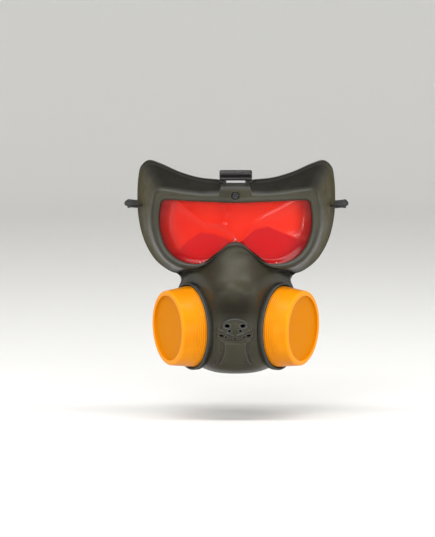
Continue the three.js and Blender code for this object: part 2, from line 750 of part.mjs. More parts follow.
function browRivet() {
  const face = frontDepth(0);
  const foot = face - wall - gap - tongueThickness - rivetTail;
  const head = rod(rivetHead / 2, face - rivetHeadHeight + gap, face + gap, 0, rivetRise, 20);
  const dimple = rod(rivetHead / 5, face - rivetHeadHeight * 0.4, face + 1, 0, rivetRise, 12);
  const shank = rod(rivetShank / 2, foot, face - rivetHeadHeight + 2 * gap, 0, rivetRise);
  return meshOf("brow_rivet", head.subtract(dimple).add(shank), blackPlastic);
}

// Strap: a flat section carried round the head, edge on at the skirt's slots and flat on the head behind.
function strapPath() {
  const right = [];
  const start = strapEndStop - strapEndLength;
  right.push(new THREE.Vector3(start, strapExit.y, strapExit.z));
  right.push(new THREE.Vector3(strapExit.x - wall, strapExit.y, strapExit.z));
  right.push(new THREE.Vector3(strapExit.x + strapLead, strapExit.y + strapThickness / 2, strapExit.z));
  for (const { across, back, drop } of strapRoute) {
    const [x, y] = [(across * headBreadth) / 2, back * headLength];
    right.push(new THREE.Vector3(x, y, strapExit.z - drop * strapNapeDrop));
  }
  const left = right.slice(0, -1).reverse();
  const mirrored = left.map((p) => new THREE.Vector3(-p.x, p.y, p.z));
  return new THREE.CatmullRomCurve3([...right, ...mirrored]);
}

function headStrap() {
  const path = strapPath();
  const length = path.getLength();
  const endShare = strapEndLength / length;
  const shares = [0, endShare, endShare + gap / length];
  for (let i = 1; i < strapSteps / 2; i += 1) {
    shares.push(lerp(shares[2], 0.5, (i / (strapSteps / 2)) ** 1.35));
  }
  const all = [...shares, 0.5, ...shares.map((s) => 1 - s).reverse()];
  const twistFrom = strapEndLength + 2 * wall;
  const rings = all.map((share) => {
    const [at, tangent] = [path.getPointAt(share), path.getTangentAt(share)];
    const run = Math.min(share, 1 - share) * length;
    const level = new THREE.Vector3(tangent.y, -tangent.x, 0).normalize();
    const up = new THREE.Vector3().crossVectors(level, tangent).normalize();
    const twist = (Math.PI / 2) * smoothstep(run, twistFrom, strapEndLength + strapTwist);
    const end = Math.min(share, 1 - share) <= endShare + 1e-9;
    const half = (end ? strapEndWidth : strapWidth) / 2;
    const thick = (end ? strapEndThickness : strapThickness) / 2;
    const wide = level.clone().multiplyScalar(Math.cos(twist)).addScaledVector(up, Math.sin(twist));
    const thin = new THREE.Vector3().crossVectors(tangent, wide);
    const corner = (a, b) => at.clone().addScaledVector(wide, a * half).addScaledVector(thin, b * thick);
    return [corner(1, 1), corner(-1, 1), corner(-1, -1), corner(1, -1)];
  });
  return meshOf("head_strap", loft(rings), blackElastic);
}

const mask = new THREE.Group();
mask.add(faceShell());
mask.add(lensFilm());
mask.add(drum(-1, "canister_left"));
mask.add(drum(1, "canister_right"));
mask.add(strapLoop());
mask.add(browRivet());
mask.add(headStrap());
export default mask;
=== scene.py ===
# %% [markdown]
# # A costume mask in gas mask style
# The mask is one soft vinyl moulding: a goggle frame that runs down into a muzzle. A red film is its window,
# two plastic drums press into round sockets, a small loop with a rivet sits on the brow, and an elastic goes
# round the head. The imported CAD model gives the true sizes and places. This file dresses it for the picture.

import bmesh
import bpy
import numpy as np
from mathutils import Matrix, Vector


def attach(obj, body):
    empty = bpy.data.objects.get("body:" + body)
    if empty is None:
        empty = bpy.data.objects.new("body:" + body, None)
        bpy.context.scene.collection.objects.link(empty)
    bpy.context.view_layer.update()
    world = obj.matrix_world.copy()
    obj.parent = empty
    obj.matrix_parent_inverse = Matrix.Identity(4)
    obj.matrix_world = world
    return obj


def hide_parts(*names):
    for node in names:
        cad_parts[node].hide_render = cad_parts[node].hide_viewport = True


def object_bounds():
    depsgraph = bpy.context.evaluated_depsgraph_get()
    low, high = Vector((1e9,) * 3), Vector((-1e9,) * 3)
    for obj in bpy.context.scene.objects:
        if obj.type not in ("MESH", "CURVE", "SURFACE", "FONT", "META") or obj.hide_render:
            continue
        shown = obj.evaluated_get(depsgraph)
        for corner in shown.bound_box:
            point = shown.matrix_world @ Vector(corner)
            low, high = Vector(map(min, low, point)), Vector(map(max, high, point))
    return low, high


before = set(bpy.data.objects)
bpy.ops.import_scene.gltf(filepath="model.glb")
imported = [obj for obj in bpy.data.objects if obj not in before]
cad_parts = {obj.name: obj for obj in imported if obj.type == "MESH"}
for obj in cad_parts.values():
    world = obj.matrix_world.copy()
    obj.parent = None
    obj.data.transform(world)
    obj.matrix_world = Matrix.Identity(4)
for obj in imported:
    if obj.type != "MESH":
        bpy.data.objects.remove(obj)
cad_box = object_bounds()
MM = 0.001
print("nodes:", ", ".join(sorted(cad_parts)))

# %% [markdown]
# ## The camera
# It looks from straight in front and a little above, through a long lens, so that near and far parts keep
# their proportions. The picture is 435 x 537, and one millimetre at the mask covers 1.408 of its pixels. It
# could be set by eye, but numbers keep every edge at the place that it has in the picture.

# %% Place the camera
PICTURE_WIDTH, SENSOR_WIDTH = 435, 36.0
PIXELS_PER_MM = 1.408
VIEW_AZIMUTH, VIEW_ELEVATION = np.radians(1.0), np.radians(4.0)
VIEW_DISTANCE = 2000.0
VIEW_TARGET = np.array([-13.0, 0.0, -27.3])

backwards = np.array([
    np.sin(VIEW_AZIMUTH) * np.cos(VIEW_ELEVATION),
    -np.cos(VIEW_AZIMUTH) * np.cos(VIEW_ELEVATION),
    np.sin(VIEW_ELEVATION),
])
rightwards = np.array([np.cos(VIEW_AZIMUTH), np.sin(VIEW_AZIMUTH), 0.0])
upwards = np.cross(backwards, rightwards)

camera = bpy.data.objects.new("camera", bpy.data.cameras.new("camera"))
camera.data.sensor_fit = "HORIZONTAL"
camera.data.sensor_width = SENSOR_WIDTH
camera.data.lens = PIXELS_PER_MM * VIEW_DISTANCE * SENSOR_WIDTH / PICTURE_WIDTH
turn = Matrix([rightwards, upwards, backwards]).transposed().to_4x4()
camera.matrix_world = Matrix.Translation(Vector((VIEW_TARGET + backwards * VIEW_DISTANCE) * MM)) @ turn
bpy.context.scene.collection.objects.link(camera)
bpy.context.scene.camera = camera
print("camera lens:", round(camera.data.lens, 1), "mm")

# %% [markdown]
# ## From arrays to meshes
# Each new piece is a surface over a grid of two parameters. numpy works out all its points at once, and a
# mesh takes them as quads between neighbours. Extruding and bevelling by hand could give such forms too, but
# a formula keeps to the true sizes. A seam or a pole puts several points in one place, so close points are
# merged, and the signed volume shows whether the faces look outwards.

# %% Grid helpers
def grid_quads(rows, columns, wrap_rows=False, wrap_columns=False):
    """Quads between rows i, i + 1 and columns j, j + 1. A wrapped side joins its last line to its first."""
    i = np.arange(rows if wrap_rows else rows - 1)[:, None]
    j = np.arange(columns if wrap_columns else columns - 1)[None, :]
    near, far = i * columns, ((i + 1) % rows) * columns
    across = (j + 1) % columns
    return np.stack([near + j, far + j, far + across, near + across], axis=-1).reshape(-1, 4)


def mesh_object(name, points, quads, look, attributes=None):
    """A mesh in metres from points in millimetres, with its doubles merged and its faces looking outwards."""
    points = np.asarray(points, dtype=float).reshape(-1, 3)
    mesh = bpy.data.meshes.new(name)
    mesh.vertices.add(len(points))
    mesh.vertices.foreach_set("co", (points * MM).ravel())
    mesh.loops.add(quads.size)
    mesh.loops.foreach_set("vertex_index", quads.ravel())
    mesh.polygons.add(len(quads))
    mesh.polygons.foreach_set("loop_start", np.arange(0, quads.size, 4))
    for key, values in (attributes or {}).items():
        layer = mesh.attributes.new(key, "FLOAT", "POINT")
        layer.data.foreach_set("value", np.asarray(values, dtype=float).ravel())
    mesh.update(calc_edges=True)
    work = bmesh.new()
    work.from_mesh(mesh)
    bmesh.ops.remove_doubles(work, verts=work.verts, dist=0.002 * MM)
    if work.calc_volume(signed=True) < 0:
        bmesh.ops.reverse_faces(work, faces=work.faces)
    work.to_mesh(mesh)
    work.free()
    mesh.shade_smooth()
    mesh.materials.append(look)
    piece = bpy.data.objects.new(name, mesh)
    bpy.context.scene.collection.objects.link(piece)
    return piece


def grid_object(name, grid, look, attributes=None, wrap_rows=False, wrap_columns=False):
    """A mesh over a grid of points, each cell one quad."""
    quads = grid_quads(*grid.shape[:2], wrap_rows, wrap_columns)
    return mesh_object(name, grid, quads, look, attributes)


def dress(piece, node):
    """The piece stands for a CAD node, which it hides, and rides on the one body."""
    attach(piece, "root")
    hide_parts(node)
    size = np.array(piece.dimensions) / MM
    print(piece.name, len(piece.data.polygons), "faces,", " x ".join(f"{side:.1f}" for side in size), "mm")


# %% Blend helpers
def lerp(low, high, share):
    """low + (high - low) share."""
    return low + (high - low) * share


def smoothstep(x, low, high):
    """A step with rounded ends: t squared (3 - 2 t), where t goes from 0 at low to 1 at high."""
    t = np.clip((x - low) / (high - low), 0, 1)
    return t * t * (3 - 2 * t)


def soft_max(a, b, rounding):
    """The larger one with a fillet: half of a + b + the hypotenuse of a - b and the rounding."""
    return (a + b + np.hypot(a - b, rounding)) / 2


def soft_min(a, b, rounding):
    """The smaller one with a fillet: the same with the hypotenuse taken away."""
    return (a + b - np.hypot(a - b, rounding)) / 2


def unit(vectors):
    """Vectors divided by their lengths."""
    return vectors / np.maximum(np.linalg.norm(vectors, axis=-1, keepdims=True), 1e-9)


def bump(x, middle, width):
    """A bell: exp(-((x - middle) / width) squared)."""
    return np.exp(-(((x - middle) / width) ** 2))


# %% Curve helpers
def spline(points, u, closed):
    """Centripetal Catmull-Rom curve at stations u, counted in points: between points 1 and 2 it is the cubic
    whose end slopes come from the four points 0 to 3, each chord weighed by the square root of its length."""
    points = np.asarray(points, dtype=float)
    if not closed:
        before, after = 2 * points[0] - points[1], 2 * points[-1] - points[-2]
        points = np.vstack([before, points, after])
        last = len(points) - 4
        index = np.clip(np.floor(u).astype(int), 0, last)
        weight = u - index
        p0, p1, p2, p3 = (points[index + k] for k in range(4))
    else:
        index = np.floor(u).astype(int)
        weight = u - index
        p0, p1, p2, p3 = (points[(index + k) % len(points)] for k in (-1, 0, 1, 2))
    chords = ((p0, p1), (p1, p2), (p2, p3))
    d0, d1, d2 = (np.sqrt(np.linalg.norm(b - a, axis=-1))[:, None] for a, b in chords)
    out = ((p1 - p0) / d0 - (p2 - p0) / (d0 + d1) + (p2 - p1) / d1) * d1
    into = ((p2 - p1) / d1 - (p3 - p1) / (d1 + d2) + (p3 - p2) / d2) * d1
    t = weight[:, None]
    return p1 + out * t + (3 * (p2 - p1) - 2 * out - into) * t**2 + (2 * (p1 - p2) + out + into) * t**3


def table_column(table, station, column, x):
    """Smooth curve through a table: on each stretch the cubic that has the rows' values and mean slopes."""
    s = np.array([row[station] for row in table])
    v = np.array([row[column] for row in table])
    number = np.arange(len(s))
    before, after = np.maximum(number - 1, 0), np.minimum(number + 1, len(s) - 1)
    slope = (v[after] - v[before]) / (s[after] - s[before])
    low = np.clip(np.searchsorted(s, x) - 1, 0, len(s) - 2)
    span = s[low + 1] - s[low]
    t = np.clip((x - s[low]) / span, 0, 1)
    rise, fall = 3 * t**2 - 2 * t**3, 2 * t**3 - 3 * t**2 + 1
    leave, arrive = (t**3 - 2 * t**2 + t) * slope[low], (t**3 - t**2) * slope[low + 1]
    return fall * v[low] + rise * v[low + 1] + span * (leave + arrive)


# %% [markdown]
# ## Materials
# The vinyl is dark and warm grey with a soft warm sheen. Its raised edges are painted lighter, as highlights,
# the side walls of the goggle frame are painted olive, as a reflection, and the deep hollows are painted
# darker, as shade; walls and hollows are also duller. Each mesh says where these are by an attribute. The
# rest comes from noise in object coordinates, which stays on the piece when it moves, and needs no picture
# files and shows no seams. Values that are the same all over are set straight on the shader.

# %% Node helpers
def new_material(name, **values):
    """A material whose shader has the given socket values, with spaces in their names written as _."""
    material = bpy.data.materials.new(name)
    material.use_nodes = True
    shader = material.node_tree.nodes["Principled BSDF"]
    for socket, value in values.items():
        shader.inputs[socket.replace("_", " ")].default_value = value
    return material


def link(material, source, target):
    """Joins a node's output to a node's input."""
    material.node_tree.links.new(source, target)


def feed(material, source, socket):
    """Links a node's output to a socket of the material's shader."""
    link(material, source, material.node_tree.nodes["Principled BSDF"].inputs[socket])


def noise(material, scale, detail=3.0, stretch=(1, 1, 1)):
    """Noise in object coordinates: scale is in waves a metre, stretch makes it finer along an axis."""
    nodes = material.node_tree.nodes
    kinds = ("TexCoord", "Mapping", "TexNoise")
    place, mapping, texture = (nodes.new("ShaderNode" + kind) for kind in kinds)
    mapping.inputs["Scale"].default_value = stretch
    texture.inputs["Scale"].default_value = scale
    texture.inputs["Detail"].default_value = detail
    link(material, place.outputs["Object"], mapping.inputs["Vector"])
    link(material, mapping.outputs["Vector"], texture.inputs["Vector"])
    return texture.outputs["Fac"]


def attribute(material, name):
    """A value that the mesh carries at each of its points."""
    node = material.node_tree.nodes.new("ShaderNodeAttribute")
    node.attribute_name = name
    return node.outputs["Fac"]


# %% Sums, colours and bump in nodes
def remap(material, source, low, high, to_low, to_high):
    """The source's range low to high made to_low to to_high, and held at its ends."""
    node = material.node_tree.nodes.new("ShaderNodeMapRange")
    for socket, value in zip(("From Min", "From Max", "To Min", "To Max"), (low, high, to_low, to_high)):
        node.inputs[socket].default_value = value
    link(material, source, node.inputs["Value"])
    return node.outputs["Result"]


def mix_colors(material, factor, first, second):
    """Two colours mixed. Each is a plain colour or another node's output."""
    node = material.node_tree.nodes.new("ShaderNodeMix")
    node.data_type = "RGBA"
    link(material, factor, node.inputs["Factor"])
    for socket, color in ((6, first), (7, second)):
        if isinstance(color, tuple):
            node.inputs[socket].default_value = color
        else:
            link(material, color, node.inputs[socket])
    return node.outputs[2]


def math_node(material, operation, first, second):
    """A sum of two terms. Each is a plain number or another node's output."""
    node = material.node_tree.nodes.new("ShaderNodeMath")
    node.operation = operation
    for socket, value in enumerate((first, second)):
        if isinstance(value, (int, float)):
            node.inputs[socket].default_value = value
        else:
            link(material, value, node.inputs[socket])
    return node.outputs[0]


def add_bump(material, height, strength, distance):
    """Bump from a height between 0 and 1, distance being its full depth in metres."""
    node = material.node_tree.nodes.new("ShaderNodeBump")
    node.inputs["Strength"].default_value = strength
    node.inputs["Distance"].default_value = distance
    link(material, height, node.inputs["Height"])
    feed(material, node.outputs["Normal"], "Normal")


# %% Vinyl of the shell
VINYL_DARK = (0.020, 0.018, 0.012, 1)
VINYL_LIGHT = (0.033, 0.030, 0.018, 1)
# Below, the edge colour is a painted highlight, the olive a painted reflection and the recess colour painted
# shade.
VINYL_HIGHLIGHT = (0.085, 0.092, 0.096, 1)
VINYL_REFLECTED_OLIVE = (0.060, 0.047, 0.006, 1)
VINYL_PAINTED_SHADE = (0.009, 0.008, 0.006, 1)

vinyl = new_material("shell_vinyl", Specular_IOR_Level=0.28, Specular_Tint=(1.0, 0.97, 0.84, 1))
clouds = mix_colors(vinyl, remap(vinyl, noise(vinyl, 45), 0.35, 0.65, 0, 1), VINYL_DARK, VINYL_LIGHT)
# Painted reflection: the frame's side walls are mixed towards olive.
with_olive = mix_colors(vinyl, attribute(vinyl, "olive_reflection"), clouds, VINYL_REFLECTED_OLIVE)
# Painted shade: the hollows are mixed towards near black.
shaded_color = mix_colors(vinyl, attribute(vinyl, "painted_shade"), with_olive, VINYL_PAINTED_SHADE)
# Painted highlight: the raised edges are mixed towards a light blue grey.
highlit_color = mix_colors(vinyl, attribute(vinyl, "painted_highlight"), shaded_color, VINYL_HIGHLIGHT)
feed(vinyl, highlit_color, "Base Color")
dull = math_node(vinyl, "MAXIMUM", attribute(vinyl, "painted_shade"), attribute(vinyl, "olive_reflection"))
sheen = remap(vinyl, noise(vinyl, 120), 0.3, 0.7, 0.34, 0.46)
feed(vinyl, math_node(vinyl, "ADD", sheen, math_node(vinyl, "MULTIPLY", dull, 0.15)), "Roughness")
feed(vinyl, remap(vinyl, dull, 0, 0.8, 0.30, 0.05), "Specular IOR Level")
add_bump(vinyl, noise(vinyl, 900, 4), 0.25, 0.00012)
print(vinyl.name, "has", len(vinyl.node_tree.nodes), "nodes")

# %% [markdown]
# The drums are satin injection moulded plastic: an even strong orange, slightly cloudy where the melt flowed,
# and matt on the sunken face, painted a darker orange as shade. One plain colour would look like paper, so
# colour and roughness both drift a little. The loop and the rivet are the same kind of plastic in glossy
# black.

# %% Plastics
# Below, the face orange is painted shade and the edge orange a painted highlight.
ORANGE = (0.74, 0.252, 0.002, 1)
ORANGE_DEEP = (0.66, 0.208, 0.002, 1)
ORANGE_HIGHLIGHT = (0.84, 0.300, 0.003, 1)
ORANGE_SHADED_FACE = (0.62, 0.200, 0.001, 1)
BLACK, BLACK_CLOUD = (0.008, 0.007, 0.007, 1), (0.018, 0.016, 0.016, 1)

orange = new_material("orange_plastic", Specular_IOR_Level=0.22, Specular_Tint=(1.0, 0.82, 0.40, 1))
drum_color = mix_colors(orange, remap(orange, noise(orange, 60), 0.35, 0.7, 0, 1), ORANGE, ORANGE_DEEP)
# Painted shade: a darker orange on the sunken face.
drum_color = mix_colors(orange, attribute(orange, "sunken"), drum_color, ORANGE_SHADED_FACE)
# Painted highlight: a lighter orange on the rim.
drum_color = mix_colors(orange, attribute(orange, "painted_highlight"), drum_color, ORANGE_HIGHLIGHT)
feed(orange, drum_color, "Base Color")
satin = remap(orange, noise(orange, 150), 0.3, 0.7, 0.28, 0.40)
matte = math_node(orange, "MULTIPLY", attribute(orange, "sunken"), 0.2)
feed(orange, math_node(orange, "ADD", satin, matte), "Roughness")
feed(orange, remap(orange, attribute(orange, "sunken"), 0, 1, 0.22, 0.06), "Specular IOR Level")
add_bump(orange, noise(orange, 700, 4), 0.2, 0.00008)

black = new_material("black_plastic", Specular_IOR_Level=0.35)
feed(black, mix_colors(black, noise(black, 200), BLACK, BLACK_CLOUD), "Base Color")
feed(black, remap(black, noise(black, 250), 0.3, 0.7, 0.24, 0.32), "Roughness")
add_bump(black, noise(black, 300, 2), 0.05, 0.00003)
print(orange.name, "has", len(orange.node_tree.nodes), "nodes,", black.name, len(black.node_tree.nodes))

# %% [markdown]
# The window is a thin transparent film, red all through. Some light passes straight through it and some is
# scattered by the dye, so it is partly see-through and glossy. Its upper half is painted a lighter red, in
# patches, as a reflection. Pure glass would show only what stands behind it, so half of the light meets a
# plain red surface instead. The film's edge is painted a deeper red, as shade, and its three small studs are
# painted pale, as glints.

# %% Red film
# The bright red is a painted reflection above the lobes, the edge colour painted shade, the pale one a painted
# glint.
FILM_RED, FILM_DEEP = (0.88, 0.034, 0.014, 1), (0.66, 0.001, 0.004, 1)
FILM_SHADED_EDGE, STUD_GLINT = (0.18, 0.002, 0.004, 1), (0.90, 0.62, 0.55, 1)

film = new_material("red_film", Transmission_Weight=0.5, IOR=1.22, Coat_Weight=0.22, Coat_Roughness=0.1)
patches = remap(film, noise(film, 35), 0.3, 0.65, 0.55, 1)
# Painted reflection: the upper half is a lighter red, in patches.
reflection_patches = math_node(film, "MULTIPLY", attribute(film, "reflected_light"), patches)
tone = mix_colors(film, reflection_patches, FILM_DEEP, FILM_RED)
# Painted shade: a deeper red towards the edge.
tone = mix_colors(film, attribute(film, "border"), tone, FILM_SHADED_EDGE)
# Painted glint: the studs are pale.
tone = mix_colors(film, attribute(film, "stud_glint"), tone, STUD_GLINT)
feed(film, tone, "Base Color")
feed(film, remap(film, noise(film, 90), 0.3, 0.7, 0.12, 0.24), "Roughness")
add_bump(film, noise(film, 60, 2), 0.15, 0.0004)
print(film.name, "has", len(film.node_tree.nodes), "nodes")

# %% [markdown]
# The elastic is woven: ribs run across its width, and threads along it cover them in turn. Real threads would
# take a million faces, and two crossing waves look the same from here. Both follow the band, so they read its
# own along and across attributes, in millimetres.

# %% Elastic weave
RIBS_PER_MM, THREADS_PER_MM = 0.7, 0.9
WEAVE_DEEP, WEAVE_TOP = (0.004, 0.004, 0.005, 1), (0.020, 0.019, 0.021, 1)


def wave(material, name, waves_per_mm):
    """sin(2 pi x waves) of a named attribute."""
    phase = math_node(material, "MULTIPLY", attribute(material, name), float(2 * np.pi * waves_per_mm))
    return math_node(material, "SINE", phase, 0.0)


elastic = new_material("black_elastic", Roughness=0.8, Specular_IOR_Level=0.2, Sheen_Weight=0.05)
ribs, threads = wave(elastic, "along", RIBS_PER_MM), wave(elastic, "across", THREADS_PER_MM)
weave = remap(elastic, math_node(elastic, "MULTIPLY", ribs, threads), -1, 1, 0, 1)
feed(elastic, mix_colors(elastic, weave, WEAVE_DEEP, WEAVE_TOP), "Base Color")
add_bump(elastic, weave, 0.6, 0.0002)
print(elastic.name, "has", len(elastic.node_tree.nodes), "nodes")

# %% [markdown]
# ## The shell
# Seen from the front, the moulding lies between two closed outlines: the opening of the window and the outer
# edge. Rays join them, one a row below. Along each ray the surface starts flat as the front of the goggle
# frame, turns back as its wall, and below the cheeks meets the muzzle in a rounded valley. It could be
# sculpted, or subdivided from a few faces, but with rays the outlines are exact and the mesh lines follow the
# form. The sizes are the CAD model's, so the skin lies on the solid that it stands for.

# %% Sizes of the shell, in millimetres
SKIRT_WIDTH, SKIRT_RISE, SKIRT_DROP = 142.2, 48.8, 102.2
LENS_WIDTH, LENS_RISE, LENS_DROP = 108.0, 20.7, 22.1
WALL = 2.0
RING_DEPTH, RING_BOW, RING_WIDTH, RING_ROUND = 27.0, 7.6, 5.5, 1.9
LIP_WIDTH = 2.2
TEMPLE_SWEEP, CHEEK_SWEEP, CHIN_TUCK, CHIN_TUCK_FROM = 24.0, 6.0, 7.0, 0.75
CHEEK_WALL_REACH = 15.0
MUZZLE_DEPTH, MUZZLE_HALF_WIDTH, MUZZLE_ROUND = 48.0, 17.0, 4.0
VALLEY_ROUND, NOSE_BLEND, EDGE_TURN_FROM = 5.0, 3.0, 0.97
CHIN_ROUND, CHIN_ROUND_FROM, CHIN_ROUND_TO = 10.0, 0.72, 0.95
CHEEK_NOTCH_RAY, CHEEK_NOTCH_BLEND = 15, 1.5
DRUM_SPREAD, DRUM_DROP, DRUM_SOCKET_DEPTH = 31.0, 67.3, 12.5
DRUM_SPLAY, DRUM_DIP = np.radians(63.0), np.radians(2.0)
DRUM_BASE_DIAMETER, SOCKET_PROUD = 57.5, 0.5
GAP = 0.3

# %% The rays of the shell, from the middle of the brow to the middle of the chin
# Across and up are shares of the half width, and of the rise (above 0) or the drop (below 0). Ring is the
# width of the frame as a share of RING_WIDTH.
RAY_COLUMNS = ("lens_across", "lens_up", "skirt_across", "skirt_up", "ring")
RAY_ROWS = (
    (0.0, 1.0, 0.0, 0.73, 1.75),
    (0.16, 1.006, 0.135, 0.732, 1.7),
    (0.2, 1.01, 0.18, 0.738, 0.9),
    (0.4, 1.025, 0.37, 0.764, 0.8),
    (0.62, 1.05, 0.57, 0.843, 0.95),
    (0.82, 1.075, 0.77, 0.96, 1.2),
    (0.93, 1.07, 0.89, 0.998, 1.3),
    (0.972, 0.98, 0.965, 0.905, 1.2),
    (0.985, 0.8, 0.99, 0.74, 1.1),
    (1.0, 0.48, 1.0, 0.47, 1.05),
    (0.993, 0.12, 0.99, 0.18, 1.0),
    (0.96, -0.2, 0.952, -0.04, 0.95),
    (0.915, -0.47, 0.895, -0.135, 0.85),
    (0.82, -0.76, 0.81, -0.22, 0.9),
    (0.69, -0.94, 0.69, -0.285, 0.92),
    (0.56, -1.0, 0.595, -0.318, 0.92),
    (0.45, -0.985, 0.555, -0.35, 0.97),
    (0.355, -0.915, 0.582, -0.41, 0.92),
    (0.287, -0.8, 0.625, -0.49, 0.78),
    (0.24, -0.69, 0.641, -0.59, 0.62),
    (0.2, -0.58, 0.622, -0.71, 0.6),
    (0.162, -0.48, 0.568, -0.83, 0.6),
    (0.12, -0.375, 0.455, -0.93, 0.6),
    (0.065, -0.29, 0.25, -0.986, 0.6),
    (0.0, -0.262, 0.0, -1.0, 0.6),
)
RAYS = [dict(zip(RAY_COLUMNS, row)) for row in RAY_ROWS]
LAST_RAY = len(RAYS) - 1
print(len(RAYS), "rays on each half")

# %% The middle line of the muzzle
# Down is a share of the drop, out and crown are shares of its depth.
MUZZLE_ROWS = (
    (0.057, 0.562, 0.18), (0.117, 0.61, 0.18), (0.19, 0.71, 0.18), (0.265, 0.85, 0.17), (0.33, 0.955, 0.14),
    (0.395, 1.0, 0.12), (0.46, 0.985, 0.11), (0.53, 0.94, 0.1), (0.6, 0.915, 0.09), (0.7, 0.915, 0.09),
    (0.8, 0.905, 0.1), (0.9, 0.875, 0.12), (1.0, 0.84, 0.14),
)
MUZZLE = [dict(zip(("down", "out", "crown"), row)) for row in MUZZLE_ROWS]


# %% Outlines of the shell
def outline(across, up, half_width, rise, drop):
    """Closed outline (across, up) in millimetres as a function of the ray number u, mirrored at its ends."""
    x = np.array([row[across] * half_width for row in RAYS])
    z = np.array([row[up] * (rise if row[up] > 0 else drop) for row in RAYS])
    right = np.stack([x, z], axis=-1)
    left = right[1:-1][::-1] * (-1, 1)
    ring = np.vstack([right, left])
    return lambda u: spline(ring, np.asarray(u, dtype=float), closed=True)


lens_outline = outline("lens_across", "lens_up", LENS_WIDTH / 2, LENS_RISE, LENS_DROP)
skirt_outline = outline("skirt_across", "skirt_up", SKIRT_WIDTH / 2, SKIRT_RISE, SKIRT_DROP)


def folded(u):
    """The ray's number on the right half, which the left half mirrors."""
    u = np.mod(u, 2 * LAST_RAY)
    return np.minimum(u, 2 * LAST_RAY - u)


# %% Depths of the shell
def front_depth(x):
    """The window's bow: its depth less the bow times the square of the share across."""
    return RING_DEPTH - RING_BOW * (x / (LENS_WIDTH / 2)) ** 2


def muzzle_depth(x, z):
    """The middle line's depth less the crown times the square of the share across."""
    down = -z / SKIRT_DROP
    crown = table_column(MUZZLE, "down", "crown", down) * (x / MUZZLE_HALF_WIDTH) ** 2
    return MUZZLE_DEPTH * (table_column(MUZZLE, "down", "out", down) - crown)


def drum_axis(side):
    """Out of a drum's face: forwards, turned aside by the splay and down by the dip."""
    return np.array([side * np.sin(DRUM_SPLAY) * np.cos(DRUM_DIP), -np.cos(DRUM_SPLAY) * np.cos(DRUM_DIP),
                     -np.sin(DRUM_DIP)])


def drum_centre(side):
    """The middle of a drum's foot."""
    return np.array([side * DRUM_SPREAD, -DRUM_SOCKET_DEPTH, -DRUM_DROP])


def socket_depth(x, z):
    """Depth of the plane that a drum's socket stands on."""
    axis = drum_axis(1)
    level = axis @ drum_centre(1) - SOCKET_PROUD
    return (axis[0] * np.abs(x) + axis[2] * z - level) / axis[1]


def cup_depth(x, z):
    """The muzzle, cut by the plane of the sockets with a fillet."""
    return soft_min(muzzle_depth(x, z), socket_depth(x, z), MUZZLE_ROUND)


def rounded_rise(x, rounding):
    """The larger of x and 0, with the parabola (x + r) squared over 4 r round the corner."""
    return np.where(np.abs(x) < rounding, (x + rounding) ** 2 / (4 * rounding), np.maximum(x, 0))


# %% Surface of the shell
class ShellRays:
    """What a ray needs: its ends, its length, how much of it is cup, and where its wall starts and ends."""

    def __init__(self, u):
        u = np.asarray(u, dtype=float)
        ray = folded(u)
        self.lens, self.skirt = lens_outline(u), skirt_outline(u)
        self.length = np.linalg.norm(self.skirt - self.lens, axis=1)[:, None]
        past_notch = ray - CHEEK_NOTCH_RAY
        self.cup = smoothstep(past_notch, -CHEEK_NOTCH_BLEND, CHEEK_NOTCH_BLEND)[:, None]
        ring = np.interp(ray, np.arange(len(RAYS)), [row["ring"] for row in RAYS])
        self.corner = (RING_WIDTH * ring + RING_ROUND / 2)[:, None]
        reach = np.minimum(self.length, CHEEK_WALL_REACH)
        self.foot = lerp(self.length, reach, self.cup) - LIP_WIDTH
        x, z = self.skirt[:, :1], self.skirt[:, 1:]
        cheek = self.cup * CHEEK_SWEEP * (x / (DRUM_SPREAD + DRUM_BASE_DIAMETER / 4)) ** 2
        tuck = CHIN_TUCK * smoothstep(-z / SKIRT_DROP, CHIN_TUCK_FROM, 1)
        self.edge = -TEMPLE_SWEEP * (x / (SKIRT_WIDTH / 2)) ** 2 - cheek - tuck
        chin = smoothstep(-z / SKIRT_DROP, CHIN_ROUND_FROM, CHIN_ROUND_TO)
        self.rim = lerp(LIP_WIDTH, CHIN_ROUND, chin)

    def place(self, share):
        """Across and up at a share of the way from the window's edge to the outer edge."""
        x = lerp(self.lens[:, :1], self.skirt[:, :1], share)
        return x, lerp(self.lens[:, 1:], self.skirt[:, 1:], share)

    def frame(self, share):
        """Goggle frame: the bowed front as far as the corner, then a straight wall with rounded ends."""
        x, _ = self.place(share)
        run = share * self.length
        rise = rounded_rise(run - self.corner, RING_ROUND) - rounded_rise(run - self.foot, RING_ROUND)
        fall = np.minimum(rise / (self.foot - self.corner), 1)
        return lerp(front_depth(x), lerp(self.edge, -MUZZLE_DEPTH / 2, self.cup), fall)

    def body(self, share):
        """The cup, sunk by the muzzle's depth on the rays that have none of it."""
        return cup_depth(*self.place(share)) - (1 - self.cup) * MUZZLE_DEPTH

    def surface(self, share):
        """Frame and cup met in a rounded valley, the edge turned in at the rim."""
        x, z = self.place(share)
        run = share * self.length
        depth = self.frame(share)
        both = soft_max(depth, self.body(share), VALLEY_ROUND)
        both = lerp(front_depth(x), both, smoothstep(run, 0, NOSE_BLEND))
        turned = np.clip(1 - (self.length - run) / self.rim, 0, 1) ** 3
        both = lerp(both, self.edge, self.cup * turned)
        depth = np.where(self.cup > 0, both, depth)
        depth = lerp(depth, self.edge, smoothstep(share, EDGE_TURN_FROM, 1) * (1 - self.cup))
        return np.stack([x + 0 * depth, -depth, z + 0 * depth], axis=-1)

    def valley(self):
        """Share of each ray where the frame first lies behind the cup."""
        shares = np.linspace(0, EDGE_TURN_FROM, 200)[None, :]
        behind = (self.frame(shares) <= self.body(shares)) & (shares > self.corner / self.length)
        first = np.where(behind.any(axis=1), shares[0, behind.argmax(axis=1)], EDGE_TURN_FROM)[:, None]
        middle = (self.corner / self.length + 1) / 2
        return lerp(middle, first, smoothstep(self.cup, 0, 0.5))


